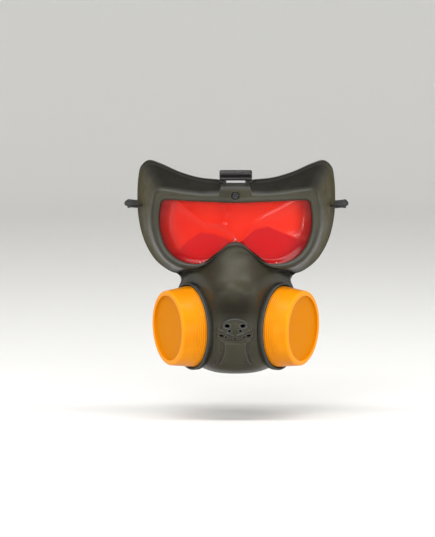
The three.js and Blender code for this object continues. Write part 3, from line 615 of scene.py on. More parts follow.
# %% [markdown]
# The mesh lines lie close together where the form turns: along the corner of the frame, in the valley, at the
# brow and round the chin. An even grid would spend most of its faces on smooth places. The brow loop stands
# in a notch of the upper edge, where the rays end early.

# %% Lay the grid
LOOP_WIDTH, LOOP_DEPTH, LOOP_PLATE = 23.0, 4.0, 3.0
RAY_SPACING, BROW_RAYS, BROW_CLOSER, NOTCH_STEP = 0.95, 2.4, 2.6, 0.004
FACE_ROWS, WALL_ROWS, REST_ROWS, REST_CROWDING = 14, 24, 44, 1.2

probe = np.linspace(0, 2 * LAST_RAY, 4001)
ends = (lens_outline(probe), skirt_outline(probe))
run_length = sum(np.cumsum(np.linalg.norm(np.diff(end, axis=0), axis=1)) for end in ends) / 2
closer = np.where(folded(probe[1:]) < BROW_RAYS, BROW_CLOSER, 1.0)
run_length = np.cumsum(np.diff(run_length, prepend=0) * closer)
stations = np.interp(np.arange(0, run_length[-1], RAY_SPACING), np.concatenate([[0], run_length]), probe)

notch_half = LOOP_WIDTH / 2 + GAP
brow_probe = np.linspace(1, 2.5, 60)
notch_ray = np.interp(notch_half, skirt_outline(brow_probe)[:, 0], brow_probe)
notch_edges = np.array([notch_ray - NOTCH_STEP, notch_ray + NOTCH_STEP])
stations = np.sort(np.concatenate([stations, notch_edges, 2 * LAST_RAY - notch_edges]))
rays = ShellRays(stations)

face_end = (rays.corner - RING_ROUND) / rays.length
valley = np.maximum(rays.valley(), face_end + 0.5 / rays.length)
start, stop = WALL / 2 / rays.length, 1 - 0.3 * WALL / rays.length
shares = np.concatenate([
    lerp(start, face_end, np.arange(FACE_ROWS) / FACE_ROWS),
    lerp(face_end, valley, np.arange(WALL_ROWS) / WALL_ROWS),
    lerp(valley, stop, 1 - (1 - np.arange(REST_ROWS + 1) / REST_ROWS) ** REST_CROWDING),
], axis=1)
in_notch = folded(stations) < notch_ray
depths = -rays.surface(shares)[..., 1]
notch_depth = LOOP_DEPTH + LOOP_PLATE / 2 + GAP
for row in np.flatnonzero(in_notch):
    notch = np.interp(-notch_depth, -depths[row, FACE_ROWS:], shares[row, FACE_ROWS:])
    shares[row] *= notch / shares[row, -1]
print("grid:", shares.shape[0], "rays,", shares.shape[1], "rows")

# %% [markdown]
# Over the smooth form lies the relief of the mould, raised along the surface's normal: a rounded lip at the
# opening, a bead on the corner of the frame, a rolled edge, the countersink of the rivet, and a shallow bed
# where the valve's own piece lies. Bump in the material would be less work, but it leaves the outline and the
# mesh bare. The parts fade between two rays, counted from the middle of the brow.

# %% Relief of the shell
RIVET_RISE, RIVET_HEAD = 25.4, 4.7
BED_HALF_WIDTH, BED_TOP, BED_FOOT, BED_DEPTH = 17.0, -53.5, -93.2, 3.4
BED_MARGIN, BED_SLOPE = 3.2, 1.6
FRAME_END, LOWER_START, BROW_END, ROLL_START = (15.5, 18), (9, 12.5), (5, 7), 2.2


def smooth_field(field, times):
    """Each row and column averaged with its neighbours, in shares 1, 2, 1, several times over."""
    for _ in range(times):
        field = (np.roll(field, 1, axis=0) + 2 * field + np.roll(field, -1, axis=0)) / 4
        inner = (field[:, :-2] + 2 * field[:, 1:-1] + field[:, 2:]) / 4
        field = np.concatenate([field[:, :1], inner, field[:, -1:]], axis=1)
    return field


def surface_normals(points):
    """Cross product of the steps round the opening and along the ray."""
    around = np.roll(points, -1, axis=0) - np.roll(points, 1, axis=0)
    return unit(np.cross(around, np.gradient(points, axis=1)))


skin = rays.surface(shares)
normals = surface_normals(skin)
normals = np.where(np.einsum("ijk,k->ij", normals, [0, -1, 0]).mean() < 0, -normals, normals)
x, z = skin[..., 0], skin[..., 2]
run, ray = shares * rays.length, folded(stations)[:, None]

on_frame = 1 - smoothstep(ray, *FRAME_END)
lower = smoothstep(ray, *LOWER_START)
brow = 1 - smoothstep(ray, *BROW_END)
bead = on_frame * (0.3 * brow + 0.2 * lower) * bump(run, rays.corner - 0.2, 0.7)
opening_lip = (0.25 + 0.3 * on_frame * lower) * bump(run, WALL, 1.1)
groove = on_frame * lower * 0.45 * bump(run, rays.corner + 4.2, 2.0)
roll = 0.45 * bump(rays.length - run, 1.8, 1.1) * (ray > ROLL_START)
from_rivet = np.hypot(x, z - RIVET_RISE) - RIVET_HEAD / 2
countersink = RIVET_HEAD / 5 * (1 - smoothstep(from_rivet, 0.2, 0.7)) * (skin[..., 1] < -RING_DEPTH / 2)
inside_bed = np.minimum(BED_HALF_WIDTH - np.abs(x), np.minimum(BED_TOP - z, z - BED_FOOT))
bed = BED_DEPTH * smoothstep(inside_bed, BED_MARGIN, BED_MARGIN + BED_SLOPE) * (skin[..., 1] < -RING_DEPTH)
relief = bead + opening_lip - groove + roll - countersink
print(f"relief: {relief.min():.2f} to {relief.max():.2f} mm, bed {bed.max():.1f} mm")

# %% Outer and inner side of the wall
INNER_ROWS, ROUND_ROWS, SMOOTHINGS = 26, 7, 12

even = unit(smooth_field(normals, SMOOTHINGS))
outer = skin + normals * (relief - bed)[..., None]
inner_field = skin - even * (WALL + bed)[..., None]
pick = np.linspace(0, shares.shape[1] - 1, INNER_ROWS).round().astype(int)
inner = inner_field[:, pick]


def rounded_end(front, back, beyond, rows):
    """Half circle from front to back that bulges towards beyond: middle + radius (cos t, sin t)."""
    middle, radius = (front + back) / 2, (front - back) / 2
    angle = np.linspace(0, np.pi, rows + 2)[1:-1][None, :, None]
    reach = np.linalg.norm(radius, axis=-1, keepdims=True)[:, None]
    return middle[:, None] + radius[:, None] * np.cos(angle) + unit(beyond)[:, None] * reach * np.sin(angle)


edge_turn = rounded_end(outer[:, -1], inner[:, -1], outer[:, -1] - outer[:, -3], ROUND_ROWS)
lens_turn = rounded_end(inner[:, 0], outer[:, 0], outer[:, 0] - outer[:, 2], ROUND_ROWS)
section = np.concatenate([outer, edge_turn, inner[:, ::-1], lens_turn], axis=1)
print("closed section of", section.shape[1], "points on each ray")

# %% [markdown]
# The vinyl's colour changes over the moulding: the side walls of the frame are painted olive, as a reflection,
# the brow's shelf, the valley and the hollow under the nose are painted darker, as shade, and duller, and the
# bead, the lip and the rolled edge are painted lighter, as highlights. This could be painted by hand, but
# worked out from the same distances as the relief it always lies on it.

# %% Shades of the shell
SIDE_START, SIDE_END, SHELF_END = (6, 8), (12.5, 15), (5, 7.5)
VALLEY_START, VALLEY_END, HOLLOW_START = (14, 15.5), (19, 21), (17, 18)
HOLLOW_SHADE, HOLLOW_LEVEL, HOLLOW_HEIGHT, HOLLOW_SIDES = 0.6, -51.0, 8.5, (5, 20)


def hollow_shade(x, z):
    """The hollow under the nose: a bell over its height, faded towards both sides."""
    return HOLLOW_SHADE * bump(z, HOLLOW_LEVEL, HOLLOW_HEIGHT) * (1 - smoothstep(np.abs(x), *HOLLOW_SIDES))


past_corner = run - rays.corner
# Painted reflection: olive on the frame's side walls.
olive_reflection = 0.5 * smoothstep(past_corner, 0.5, 4.5) * smoothstep(ray, *SIDE_START)
olive_reflection *= 1 - smoothstep(ray, *SIDE_END)
# Painted shade: the brow's shelf, the valley and the hollow under the nose are darker.
shelf = 0.85 * smoothstep(past_corner, 0, 3) * (1 - smoothstep(ray, *SHELF_END))
in_valley = 0.8 * bump(run, valley * rays.length, 2.5) * smoothstep(ray, *VALLEY_START)
in_valley *= 1 - smoothstep(ray, *VALLEY_END)
painted_shade = np.maximum(np.maximum(shelf, in_valley), hollow_shade(x, z) * smoothstep(ray, *HOLLOW_START))
# Painted highlight: the bead on the frame's corner, the lip of the opening and the rolled edge are lighter.
edge_highlight = on_frame * (0.45 * brow + 0.25 * lower) * bump(past_corner, -0.2, 0.6)
edge_highlight += (0.15 + 0.4 * on_frame * lower) * bump(run, WALL, 0.9) + 0.15 * bump(rays.length - run, 2.4, 0.7)
inside_rows = ((0, 0), (0, section.shape[1] - outer.shape[1]))
shades = {"olive_reflection": olive_reflection, "painted_highlight": edge_highlight, "painted_shade": painted_shade}
shades = {name: np.pad(shade, inside_rows) for name, shade in shades.items()}
shell = grid_object("shell_skin", section, vinyl, shades, wrap_rows=True, wrap_columns=True)
dress(shell, "face_shell")

# %% [markdown]
# ## The valve and its stem
# The exhale valve is a low dome with a crisp upper edge, pierced by a few holes, with two raised lips that
# meet like a beak. Below it a flat stem runs to the chin between flared ridges. Such fine relief needs a
# finer mesh than the shell has, so it is a height field of its own that lies in the shell's bed.

# %% Sizes of the valve
VALVE_DROP, VALVE_WIDTH, VALVE_HEIGHT = 66.8, 21.0, 16.0
VALVE_PROUD, DOME_POWER, HOLE_DEPTH = 3.4, 0.4, 2.6
STEM_TOP, STEM_FOOT, STEM_PROUD = 77.0, 92.0, 1.3
BED_OVERLAP, VALVE_LIFT, VALVE_BACK = 0.4, 0.03, 3.0
HOLES = (
    {"across": 5.1, "up": 2.6, "wide": 1.6, "tall": 1.25},
    {"across": 3.5, "up": -0.9, "wide": 0.95, "tall": 0.65},
    {"across": 9.3, "up": -4.4, "wide": 1.7, "tall": 0.6},
    {"across": 6.1, "up": -5.2, "wide": 0.7, "tall": 0.5},
    {"across": 0.0, "up": -6.3, "wide": 0.75, "tall": 0.5},
)
LIP_PATH = ((11.4, -66.7), (8.6, -67.9), (5.0, -69.5), (1.2, -70.8))
CHEEK_PATH = ((12.3, -67.6), (12.2, -71.2), (10.2, -74.7), (7.5, -76.6))
STEM_EDGE = ((7.3, -76.5), (6.9, -79.5), (7.1, -83.0), (8.0, -86.3), (9.2, -89.2), (10.4, -91.4))
FLARE_PATH = ((9.8, -84.0), (10.6, -87.0), (12.3, -89.6), (14.4, -91.4))


# %% Height field of the valve
def distance_to_path(x, z, path):
    """Distance to a line of stretches: for each, the length left after the nearest point is taken away."""
    nearest = np.full(x.shape, np.inf)
    for (x0, z0), (x1, z1) in zip(path[:-1], path[1:]):
        dx, dz = x1 - x0, z1 - z0
        t = np.clip(((x - x0) * dx + (z - z0) * dz) / (dx * dx + dz * dz), 0, 1)
        nearest = np.minimum(nearest, np.hypot(x - x0 - t * dx, z - z0 - t * dz))
    return nearest


def valve_height(x, z):
    """Dome (1 - e) to the dome's power over its ellipse, plus lips, stem and ridges, less the holes."""
    up = z + VALVE_DROP
    e = (x / (VALVE_WIDTH / 2)) ** 2 + (up / (VALVE_HEIGHT / 2)) ** 2
    dome = VALVE_PROUD * np.clip(1 - e, 0, 1) ** DOME_POWER
    dome *= lerp(0.55, 1.0, smoothstep(up, -6.5, 1.0))
    dome += 0.75 * bump(e, 0.86, 0.12) * smoothstep(up, 2.5, 6.5)
    side = np.abs(x)
    lips = (0.8 - 0.5 * bump(side, 6.8, 1.3)) * bump(distance_to_path(side, z, LIP_PATH), 0, 0.6)
    cheeks = 0.5 * bump(distance_to_path(side, z, CHEEK_PATH), 0, 0.7)
    height = np.maximum(dome, 0) + lips + cheeks
    edge = np.array(STEM_EDGE)
    half = np.interp(-z, -edge[:, 1], edge[:, 0])
    begun, ended = smoothstep(-z, STEM_TOP - 2.5, STEM_TOP + 0.5), smoothstep(-z, STEM_FOOT - 2.5, STEM_FOOT)
    stretch = begun * (1 - ended)
    trough = 0.5 * bump(side, half + 1.7, 1.2) * stretch
    height = np.maximum(height, STEM_PROUD * smoothstep(half - side, -0.5, 0.5) * stretch) - trough
    height += 0.4 * bump(distance_to_path(side, z, STEM_EDGE), 0, 0.6)
    height += 0.55 * bump(distance_to_path(side, z, FLARE_PATH), 0, 0.8)
    for hole in HOLES:
        reach = np.hypot((side - hole["across"]) / hole["wide"], (up - hole["up"]) / hole["tall"])
        height += 0.3 * bump(reach, 1.45, 0.3) * (up < hole["up"])
        height = lerp(height, -HOLE_DEPTH, 1 - smoothstep(reach, 0.8, 1.15))
    border = np.minimum(BED_HALF_WIDTH - side, np.minimum(BED_TOP - z, z - BED_FOOT)) + BED_OVERLAP
    return height * smoothstep(border, 0, 1.5) + VALVE_LIFT


half_width = BED_HALF_WIDTH + BED_OVERLAP
x, z = np.meshgrid(np.linspace(-half_width, half_width, 180),
                   np.linspace(BED_TOP + BED_OVERLAP, BED_FOOT - BED_OVERLAP, 205))
chin_line = skirt_outline(np.linspace(LAST_RAY - 3, LAST_RAY, 60))
bottom = np.interp(np.abs(x), chin_line[::-1, 0], chin_line[::-1, 1])
turned_in = np.clip(1 - (z - bottom) / CHIN_ROUND, 0, 1) ** 3
base = lerp(cup_depth(x, z), -CHIN_TUCK, turned_in)
base_points = np.stack([x, -base, z], axis=-1)
tilt = unit(np.cross(np.gradient(base_points, axis=1), np.gradient(base_points, axis=0)))
tilt = np.where(tilt[..., 1:2] > 0, -tilt, tilt)
relief = valve_height(x, z)
front, back = base_points + tilt * relief[..., None], base_points - tilt * VALVE_BACK
print(f"valve: {x.size} points, {relief.min():.2f} to {relief.max():.2f} mm high")

# %% [markdown]
# The height field gets a smooth back and four narrow sides, so that it is a closed piece. A Solidify modifier
# could do that too, but it would carry the holes to the back. The ridges are painted lighter, as highlights,
# and the holes are painted dark, as shade.

# %% Mesh of the valve
(rows, columns), count = x.shape, x.size
sheet = grid_quads(rows, columns)
rim = np.concatenate([
    np.arange(columns), np.arange(1, rows) * columns + columns - 1,
    (rows - 1) * columns + np.arange(columns - 2, -1, -1), np.arange(rows - 2, 0, -1) * columns,
])
next_rim = np.roll(rim, -1)
sides = np.stack([rim, next_rim, next_rim + count, rim + count], axis=-1)
quads = np.concatenate([sheet, sheet[:, ::-1] + count, sides])
# Painted highlight: the valve's ridges are lighter.
ridge = smoothstep(relief - smooth_field(relief, 8), 0.04, 0.22) * (relief > 0.3)
# Painted shade: the holes and the hollow under the nose are darker.
painted_shade = np.maximum(hollow_shade(x, z), smoothstep(-relief, 0.3, 1.5))
shades = {"painted_highlight": 0.6 * ridge, "painted_shade": painted_shade}
shades = {name: np.pad(shade.ravel(), (0, count)) for name, shade in shades.items()}
valve = mesh_object("valve_relief", np.stack([front, back]), quads, vinyl, shades)
valve.data.set_sharp_from_angle(angle=np.radians(75))
dress(valve, "face_shell")

# %% [markdown]
# ## Sockets and drums
# These are turned forms: a profile of radius and height, carried round an axis. The Screw modifier does this
# too, but a formula also places the finish of each point. Each corner of a profile is rounded a little, as in
# a mould, so that it catches a thin line of light.

# %% Turned pieces
TURNS = 144
SIDES = ((-1, "left"), (1, "right"))


def round_corners(profile, radius, steps=4):
    """Each inner corner becomes an arc's worth of points on the curve (1-t)2 a + 2t(1-t) b + t2 c."""
    profile = np.asarray(profile, dtype=float)
    points = [profile[0]]
    for a, b, c in zip(profile[:-2], profile[1:-1], profile[2:]):
        cut_in, cut_out = (min(radius, np.linalg.norm(p - b) * 0.45) for p in (a, c))
        first, last = b + unit(a - b) * cut_in, b + unit(c - b) * cut_out
        t = np.linspace(0, 1, steps + 1)[:, None]
        points.extend((1 - t) ** 2 * first + 2 * t * (1 - t) * b + t**2 * last)
    points.append(profile[-1])
    return np.array(points)


def turned(profile, centre, axis):
    """centre + axis height + radius (cos a, sin a) in the plane across the axis."""
    profile = np.asarray(profile)
    sideways = unit(np.cross(axis, [0, 0, 1]))
    upright = np.cross(sideways, axis)
    angle = np.linspace(0, 2 * np.pi, TURNS, endpoint=False)[:, None, None]
    circle = np.cos(angle) * sideways + np.sin(angle) * upright
    return centre + profile[None, :, 1:2] * axis + profile[None, :, :1] * circle


# %% Sockets
SOCKET_WALL, SOCKET_LIP, SOCKET_FOOT, SOCKET_LEDGE = 1.9, 2.2, 2.0, 4.0

bore = DRUM_BASE_DIAMETER / 2 + GAP
rim_radius, ledge = bore + SOCKET_WALL, bore - SOCKET_LEDGE
collar = round_corners([
    (ledge, -SOCKET_FOOT), (rim_radius, -SOCKET_FOOT), (rim_radius, SOCKET_LIP), (bore, SOCKET_LIP),
    (bore, 0.0), (ledge, 0.0), (ledge, -SOCKET_FOOT),
], 0.7)
# Painted highlight: a thin lighter line round the collar's outer corner.
at_corner = bump(np.hypot(collar[:, 0] - rim_radius, collar[:, 1] - SOCKET_LIP), 0.4, 0.35)
for side, word in SIDES:
    points = turned(collar, drum_centre(side), drum_axis(side))
    # Painted shade: the whole collar is darker.
    highlight, shade = (np.broadcast_to(level, points.shape[:2]) for level in (0.7 * at_corner, 0.5))
    piece = grid_object(f"socket_{word}", points, vinyl, {"painted_highlight": highlight, "painted_shade": shade}, wrap_rows=True)
    dress(piece, "face_shell")

# %% [markdown]
# A drum is a hollow cap. Its wall leans in towards the face, carries faint rings near its foot, and ends in a
# thin rim round a flat sunken face, which is left matt. The profile runs up the outside, over the rim, across
# the face and back down the inside to the point that it started from.

# %% Drums
DRUM_FACE_DIAMETER, DRUM_DEPTH = 53.0, 18.9
DRUM_WALL, DRUM_RIM, DRUM_RECESS, DRUM_ROUND = 1.6, 2.0, 2.0, 1.6
RING_PITCH, RING_HEIGHT = 1.5, 0.16

foot_radius, face_radius = DRUM_BASE_DIAMETER / 2, DRUM_FACE_DIAMETER / 2
floor_level = DRUM_DEPTH - DRUM_RECESS
rise = np.linspace(GAP + 0.5, DRUM_DEPTH - DRUM_ROUND, 90)
lean = lerp(foot_radius, face_radius, (rise - GAP) / (DRUM_DEPTH - DRUM_ROUND - GAP))
rings = RING_HEIGHT * (np.cos(2 * np.pi * rise / RING_PITCH) - 1) * (1 - smoothstep(rise, 7.0, 10.0))
arc = np.linspace(0, np.pi / 2, 9)[1:]
shoulder = np.stack([face_radius - DRUM_ROUND + DRUM_ROUND * np.cos(arc),
                     DRUM_DEPTH - DRUM_ROUND + DRUM_ROUND * np.sin(arc)], axis=-1)
lip = face_radius - DRUM_ROUND - DRUM_RIM
outside = np.concatenate([np.stack([lean + rings, rise], axis=-1), shoulder])
sunken = round_corners([(face_radius - DRUM_ROUND, DRUM_DEPTH), (lip, DRUM_DEPTH), (lip, floor_level),
                        (lip * 0.6, floor_level)], 0.45)
dished = np.linspace(lip * 0.6, 0, 12)[1:]
dish = np.stack([dished, np.full(dished.shape, floor_level)], axis=-1)
roof = floor_level - DRUM_WALL
inside = round_corners([(0, roof), (face_radius - DRUM_WALL - 0.4, roof), (foot_radius - DRUM_WALL, GAP),
                        (foot_radius - 0.1, GAP), outside[0]], 0.3)
drum_profile = np.concatenate([outside, sunken[1:], dish, inside])
# Painted highlight: the drum's rim is a lighter orange.
near_rim = bump(drum_profile[:, 1], DRUM_DEPTH, 1.1) * (drum_profile[:, 0] > lip)
# Painted shade: the sunken face is a darker orange.
on_face = (drum_profile[:, 0] < lip + 0.1) & (drum_profile[:, 1] > floor_level - 0.1)
for side, word in SIDES:
    points = turned(drum_profile, drum_centre(side), drum_axis(side))
    highlight, face = (np.broadcast_to(level, points.shape[:2]) for level in (0.7 * near_rim, on_face))
    piece = grid_object(f"drum_{word}", points, orange, {"painted_highlight": highlight, "sunken": face}, wrap_rows=True)
    dress(piece, f"canister_{word}")

# %% [markdown]
# ## The window
# The film is cut a little larger than the opening, most of all under the bridge of the nose, so that no gap
# shows from the side, and bent to the frame. It was folded in its packet, so a few long soft creases cross
# it. A cloth simulation would put creases anywhere, so each one is a path here, and the film rises near it.
# Three tiny studs at its lower edge hold it in the frame.

# %% Form of the film
FILM_OVERLAP, NOSE_OVERLAP, FILM_THICKNESS, FILM_SINK = 1.7, 4.2, 0.4, 0.9
NOSE_START = (16.5, 18.5)
CREASES = (
    {"path": ((-42, 23), (-33, 15), (-21, 6), (-7.5, 5)), "shaded_color": 0.6, "wide": 1.6},
    {"path": ((-7.4, 22), (-6.5, 13.3), (-9.3, 6), (-7, 4), (-0.4, -6)), "shaded_color": 0.5, "wide": 1.7},
    {"path": ((45, 23), (32.2, 15.9), (21.3, 10.4), (12.6, 5.1), (8.2, -0.4), (5, -5.9)),
     "shaded_color": 0.6, "wide": 1.6},
    {"path": ((48, 19), (46.3, 1.8), (38.7, -2.6)), "shaded_color": 0.4, "wide": 1.8},
)
LOBE_TOP = ((-46, -17), (-40, -13), (-33, -6), (-25, -0.6), (-16, -1), (-6.9, -4.4), (0, -9), (5, -5.9),
            (13.7, 1.8), (22.4, 3.9), (32.2, -0.4), (46.3, -5.9), (52, -9))
LOBE_RIDGE = {"shaded_color": 0.45, "wide": 2.6}


def above_lobes(x, z):
    """Height above the line that parts the upper half, painted lighter as a reflection, from the two lobes
    below it.
    """
    return z - np.interp(x, *np.array(LOBE_TOP, dtype=float).T)


def film_depth(x, z):
    """The frame's bow, sunk a little, plus a rounded fold deep exp(-distance / wide) along each crease."""
    fold = 0
    for crease in CREASES:
        away = np.hypot(distance_to_path(x, z, crease["path"]), 0.4)
        fold = fold + crease["shaded_color"] * np.exp(-away / crease["wide"])
    ridge = LOBE_RIDGE["shaded_color"] * np.exp(-np.hypot(above_lobes(x, z), 0.5) / LOBE_RIDGE["wide"])
    return front_depth(x) - WALL - GAP - FILM_SINK + fold + ridge


# %% Mesh of the film
turn_count, ring_count = 300, 70
around = np.linspace(0, 2 * LAST_RAY, turn_count, endpoint=False)
border = lens_outline(around)
step = np.roll(border, -1, axis=0) - np.roll(border, 1, axis=0)
outwards = unit(np.stack([-step[:, 1], step[:, 0]], axis=-1))
overlap = lerp(FILM_OVERLAP, NOSE_OVERLAP, smoothstep(folded(around), *NOSE_START))[:, None]
centre = np.array([0.0, LENS_RISE * 0.4])
cut, even_cut = (border + outwards * margin - centre for margin in (overlap, FILM_OVERLAP))
ring_share = np.linspace(0, 1, ring_count)[None, :] ** 0.9
flat = centre + cut[:, None] * ring_share[..., None]
ring_share = ring_share * (np.linalg.norm(cut, axis=1) / np.linalg.norm(even_cut, axis=1))[:, None]
x, z = flat[..., 0], flat[..., 1]
depth = lerp(front_depth(x) - WALL - GAP + 0.1, film_depth(x, z), 1 - smoothstep(ring_share, 0.84, 0.97))
front = np.stack([x, -depth, z], axis=-1)
section = np.concatenate([front, front[:, ::-1] + (0, FILM_THICKNESS, 0)], axis=1)
# Painted reflection: lighter above the lobes.
reflected_light = smoothstep(above_lobes(x, z), -0.9, 0.9)
# Painted shade: darker towards the edge, most at the sides.
edge = smoothstep(ring_share, 0.70, 0.98) * lerp(0.3, 0.9, smoothstep(np.abs(x), 20, 48))
shades = {"border": edge, "reflected_light": reflected_light}
shades = {name: np.concatenate([shade, shade[:, ::-1]], axis=1) for name, shade in shades.items()}
window = grid_object("red_window", section, film, shades, wrap_rows=True)
dress(window, "lens_film")

# %% Studs of the film
STUD_RAYS = (15.25, 24.0, 2 * LAST_RAY - 15.9)
STUD_RADIUS, STUD_LIFT, STUD_RISE, STUD_GLINT_LEVEL = 0.75, 1.9, 0.35, 0.8

polar = np.linspace(0, np.pi, 13)[:, None]
turn_angle = np.linspace(0, 2 * np.pi, 24, endpoint=False)[None, :]
ball = np.stack([np.sin(polar) * np.cos(turn_angle), -np.cos(polar) + 0 * turn_angle,
                 np.sin(polar) * np.sin(turn_angle)], axis=-1)
# Painted glint: the studs take the pale colour.
stud_glint = {"stud_glint": np.full(ball.shape[:2], STUD_GLINT_LEVEL)}
for number, stud_ray in enumerate(STUD_RAYS):
    place_x, place_z = lens_outline([stud_ray])[0]
    middle = np.array([place_x, WALL + GAP - front_depth(place_x), place_z + STUD_RISE])
    points = middle + ball * (STUD_RADIUS, STUD_LIFT, STUD_RADIUS)
    stud = grid_object(f"film_stud_{number}", points, film, stud_glint, wrap_columns=True)
    dress(stud, "lens_film")

# %% [markdown]
# ## The brow loop and its rivet
# The loop is a flat plate with a thin slot. A thick round bar lies along its top and a slim one over the
# slot, and two small bosses flank the slot. A tongue runs from the plate under the wall to the rivet. A
# boolean could cut the slot, but a closed ring of sections from the slot to the rim has clean round edges.

# %% Brow loop
LOOP_FOOT, LOOP_TOP = 32.2, 42.8
SLOT_WIDTH, SLOT_HEIGHT, SLOT_FOOT = 13.5, 1.7, 33.8
BAR_THICKNESS, SLIM_BAR, BOSS_RADIUS, LOOP_CORNER = 5.3, 1.9, 0.95, 1.6
TONGUE_WIDTH, TONGUE_THICKNESS = 13.0, 1.3


def rounded_rectangle(half_width, half_height, radius, corner=8, side=16):
    """Four quarter circles about the corner centres, joined by evenly divided straight sides."""
    angle = np.linspace(0, np.pi / 2, corner)[None, :] + np.arange(4)[:, None] * np.pi / 2
    centres = np.array([(1, 1), (-1, 1), (-1, -1), (1, -1)]) * (half_width - radius, half_height - radius)
    arcs = centres[:, None] + radius * np.stack([np.cos(angle), np.sin(angle)], axis=-1)
    share = (np.arange(1, side + 1) / (side + 1))[None, :, None]
    sides = lerp(arcs[:, -1:], np.roll(arcs, -1, axis=0)[:, :1], share)
    return np.concatenate([arcs, sides], axis=1).reshape(-1, 2)


slot_middle, plate_middle = SLOT_FOOT + SLOT_HEIGHT / 2, (LOOP_TOP + LOOP_FOOT) / 2
slot_edge = rounded_rectangle(SLOT_WIDTH / 2, SLOT_HEIGHT / 2, 0.5) + (0, slot_middle)
plate_edge = rounded_rectangle(LOOP_WIDTH / 2, (LOOP_TOP - LOOP_FOOT) / 2, LOOP_CORNER) + (0, plate_middle)
thickness = rounded_rectangle(1, 1, 0.45, 5, 3)
between, thick = (1 - thickness[:, 0]) / 2, thickness[:, 1]
flat = lerp(slot_edge[:, None], plate_edge[:, None], between[None, :, None])
plate_y = -(LOOP_DEPTH + thick[None, :] * LOOP_PLATE / 2 + 0 * flat[..., 0])
points = np.stack([flat[..., 0], plate_y, flat[..., 1]], axis=-1)
loop = grid_object("brow_loop", points, black, wrap_rows=True, wrap_columns=True)
dress(loop, "strap_loop")


# %% Bars and bosses of the loop
ACROSS, FORWARDS = np.array([1.0, 0, 0]), np.array([0, -1.0, 0])


def bar_profile(radius, half_length, corner):
    """Half of a bar's section from end to end, its corners rounded."""
    ends = [(0, -half_length), (radius, -half_length), (radius, half_length), (0, half_length)]
    return round_corners(ends, corner)


bar_y, front_y = -LOOP_DEPTH, -LOOP_DEPTH - LOOP_PLATE / 2
top_rise, slim_rise = LOOP_TOP - BAR_THICKNESS / 2, SLOT_FOOT + 1.5 * SLOT_HEIGHT
boss_x, boss_rise = SLOT_WIDTH / 2 + 3.6, slot_middle - 0.4
BARS = (
    ("bar_top", BAR_THICKNESS / 2, LOOP_WIDTH / 2, 1.1, (0, bar_y, top_rise), ACROSS),
    ("bar_slim", SLIM_BAR / 2, LOOP_WIDTH / 2 - 0.2, 0.5, (0, front_y, slim_rise), ACROSS),
    ("boss_left", BOSS_RADIUS, 0.6, 0.4, (-boss_x, front_y, boss_rise), FORWARDS),
    ("boss_right", BOSS_RADIUS, 0.6, 0.4, (boss_x, front_y, boss_rise), FORWARDS),
)
for name, radius, half_length, corner, middle, axis in BARS:
    points = turned(bar_profile(radius, half_length, corner), np.array(middle), axis)
    dress(grid_object(name, points, black, wrap_rows=True), "strap_loop")

# %% Sweep a flat section along a path
def arc_length(points):
    """Sum of the chords up to each point."""
    return np.concatenate([[0], np.cumsum(np.linalg.norm(np.diff(points, axis=0), axis=1))])


def swept(path, wide, thin, section):
    """path + wide a + thin b for each point (a, b) of the section, the ends closed on their middles."""
    body = path[:, None] + wide[:, None] * section[None, :, :1] + thin[:, None] * section[None, :, 1:]
    first, last = (np.repeat(end[None, None], body.shape[1], axis=1) for end in (path[0], path[-1]))
    return np.concatenate([first, body, last], axis=0)


# %% Tongue of the loop
tab_depth = RING_DEPTH - WALL - GAP - TONGUE_THICKNESS / 2
tongue_rows = ((LOOP_DEPTH, LOOP_FOOT + 0.8), (LOOP_DEPTH, 31.6), (6.5, 30.3), (15.0, 28.3), (21.5, 26.9),
               (tab_depth - 0.3, 25.8), (tab_depth, 24.6), (tab_depth, 23.05))
tongue_points = np.array([(0, -depth, rise) for depth, rise in tongue_rows])
tongue_path = spline(tongue_points, np.linspace(0, len(tongue_rows) - 1.001, 60), False)
ahead = unit(np.gradient(tongue_path, axis=0))
wide = np.tile(ACROSS, (len(ahead), 1))
section = rounded_rectangle(TONGUE_WIDTH / 2, TONGUE_THICKNESS / 2, 0.4, 5, 6)
points = swept(tongue_path, wide, np.cross(ahead, wide), section)
tongue = grid_object("loop_tongue", points, black, wrap_columns=True)
dress(tongue, "strap_loop")

# %% Rivet
RIVET_SHANK = 2.4
shank, head = RIVET_SHANK / 2, RIVET_HEAD / 2

# Its heights are measured from the front of the goggle frame.
head_profile = round_corners([
    (0, -4.2), (shank, -4.2), (shank, -0.8), (head, -0.8), (head, -0.1), (head * 0.72, 0.28),
    (head * 0.44, 0.05), (head * 0.28, -0.15), (0, -0.1),
], 0.25)
points = turned(head_profile, np.array([0, -front_depth(0), RIVET_RISE]), FORWARDS)
rivet = grid_object("rivet_head", points, black, wrap_rows=True)
dress(rivet, "brow_rivet")

# %% [markdown]
# ## The elastic
# The strap leaves a slot on each side with its edge to the front, turns flat against the head within a few
# centimetres, and goes round it. The part that the picture hides takes the plain way behind the head. A
# bevelled curve would choose its own twist, so the band is swept with the direction of its width given.

# %% Head strap
STRAP_RAY, STRAP_DEPTH = 9.3, -18.0
STRAP_WIDTH, STRAP_THICKNESS, STRAP_LEAD, STRAP_TAIL = 6.0, 1.2, 4.5, 5.0
TWIST_FROM, TWIST_TO = 20.0, 48.0
HEAD_BREADTH, HEAD_LENGTH, NAPE_DROP = 156.0, 193.0, 9.0
# Across as a share of half the breadth, back as a share of the length, down as a share of the drop.
STRAP_ROUTE = (
    (0.985, 0.145, 0.0), (1.01, 0.25, 0.02), (1.02, 0.4, 0.12), (1.005, 0.55, 0.3), (0.93, 0.71, 0.52),
    (0.78, 0.85, 0.74), (0.55, 0.953, 0.9), (0.28, 1.0, 0.98), (0.0, 1.012, 1.0),
)

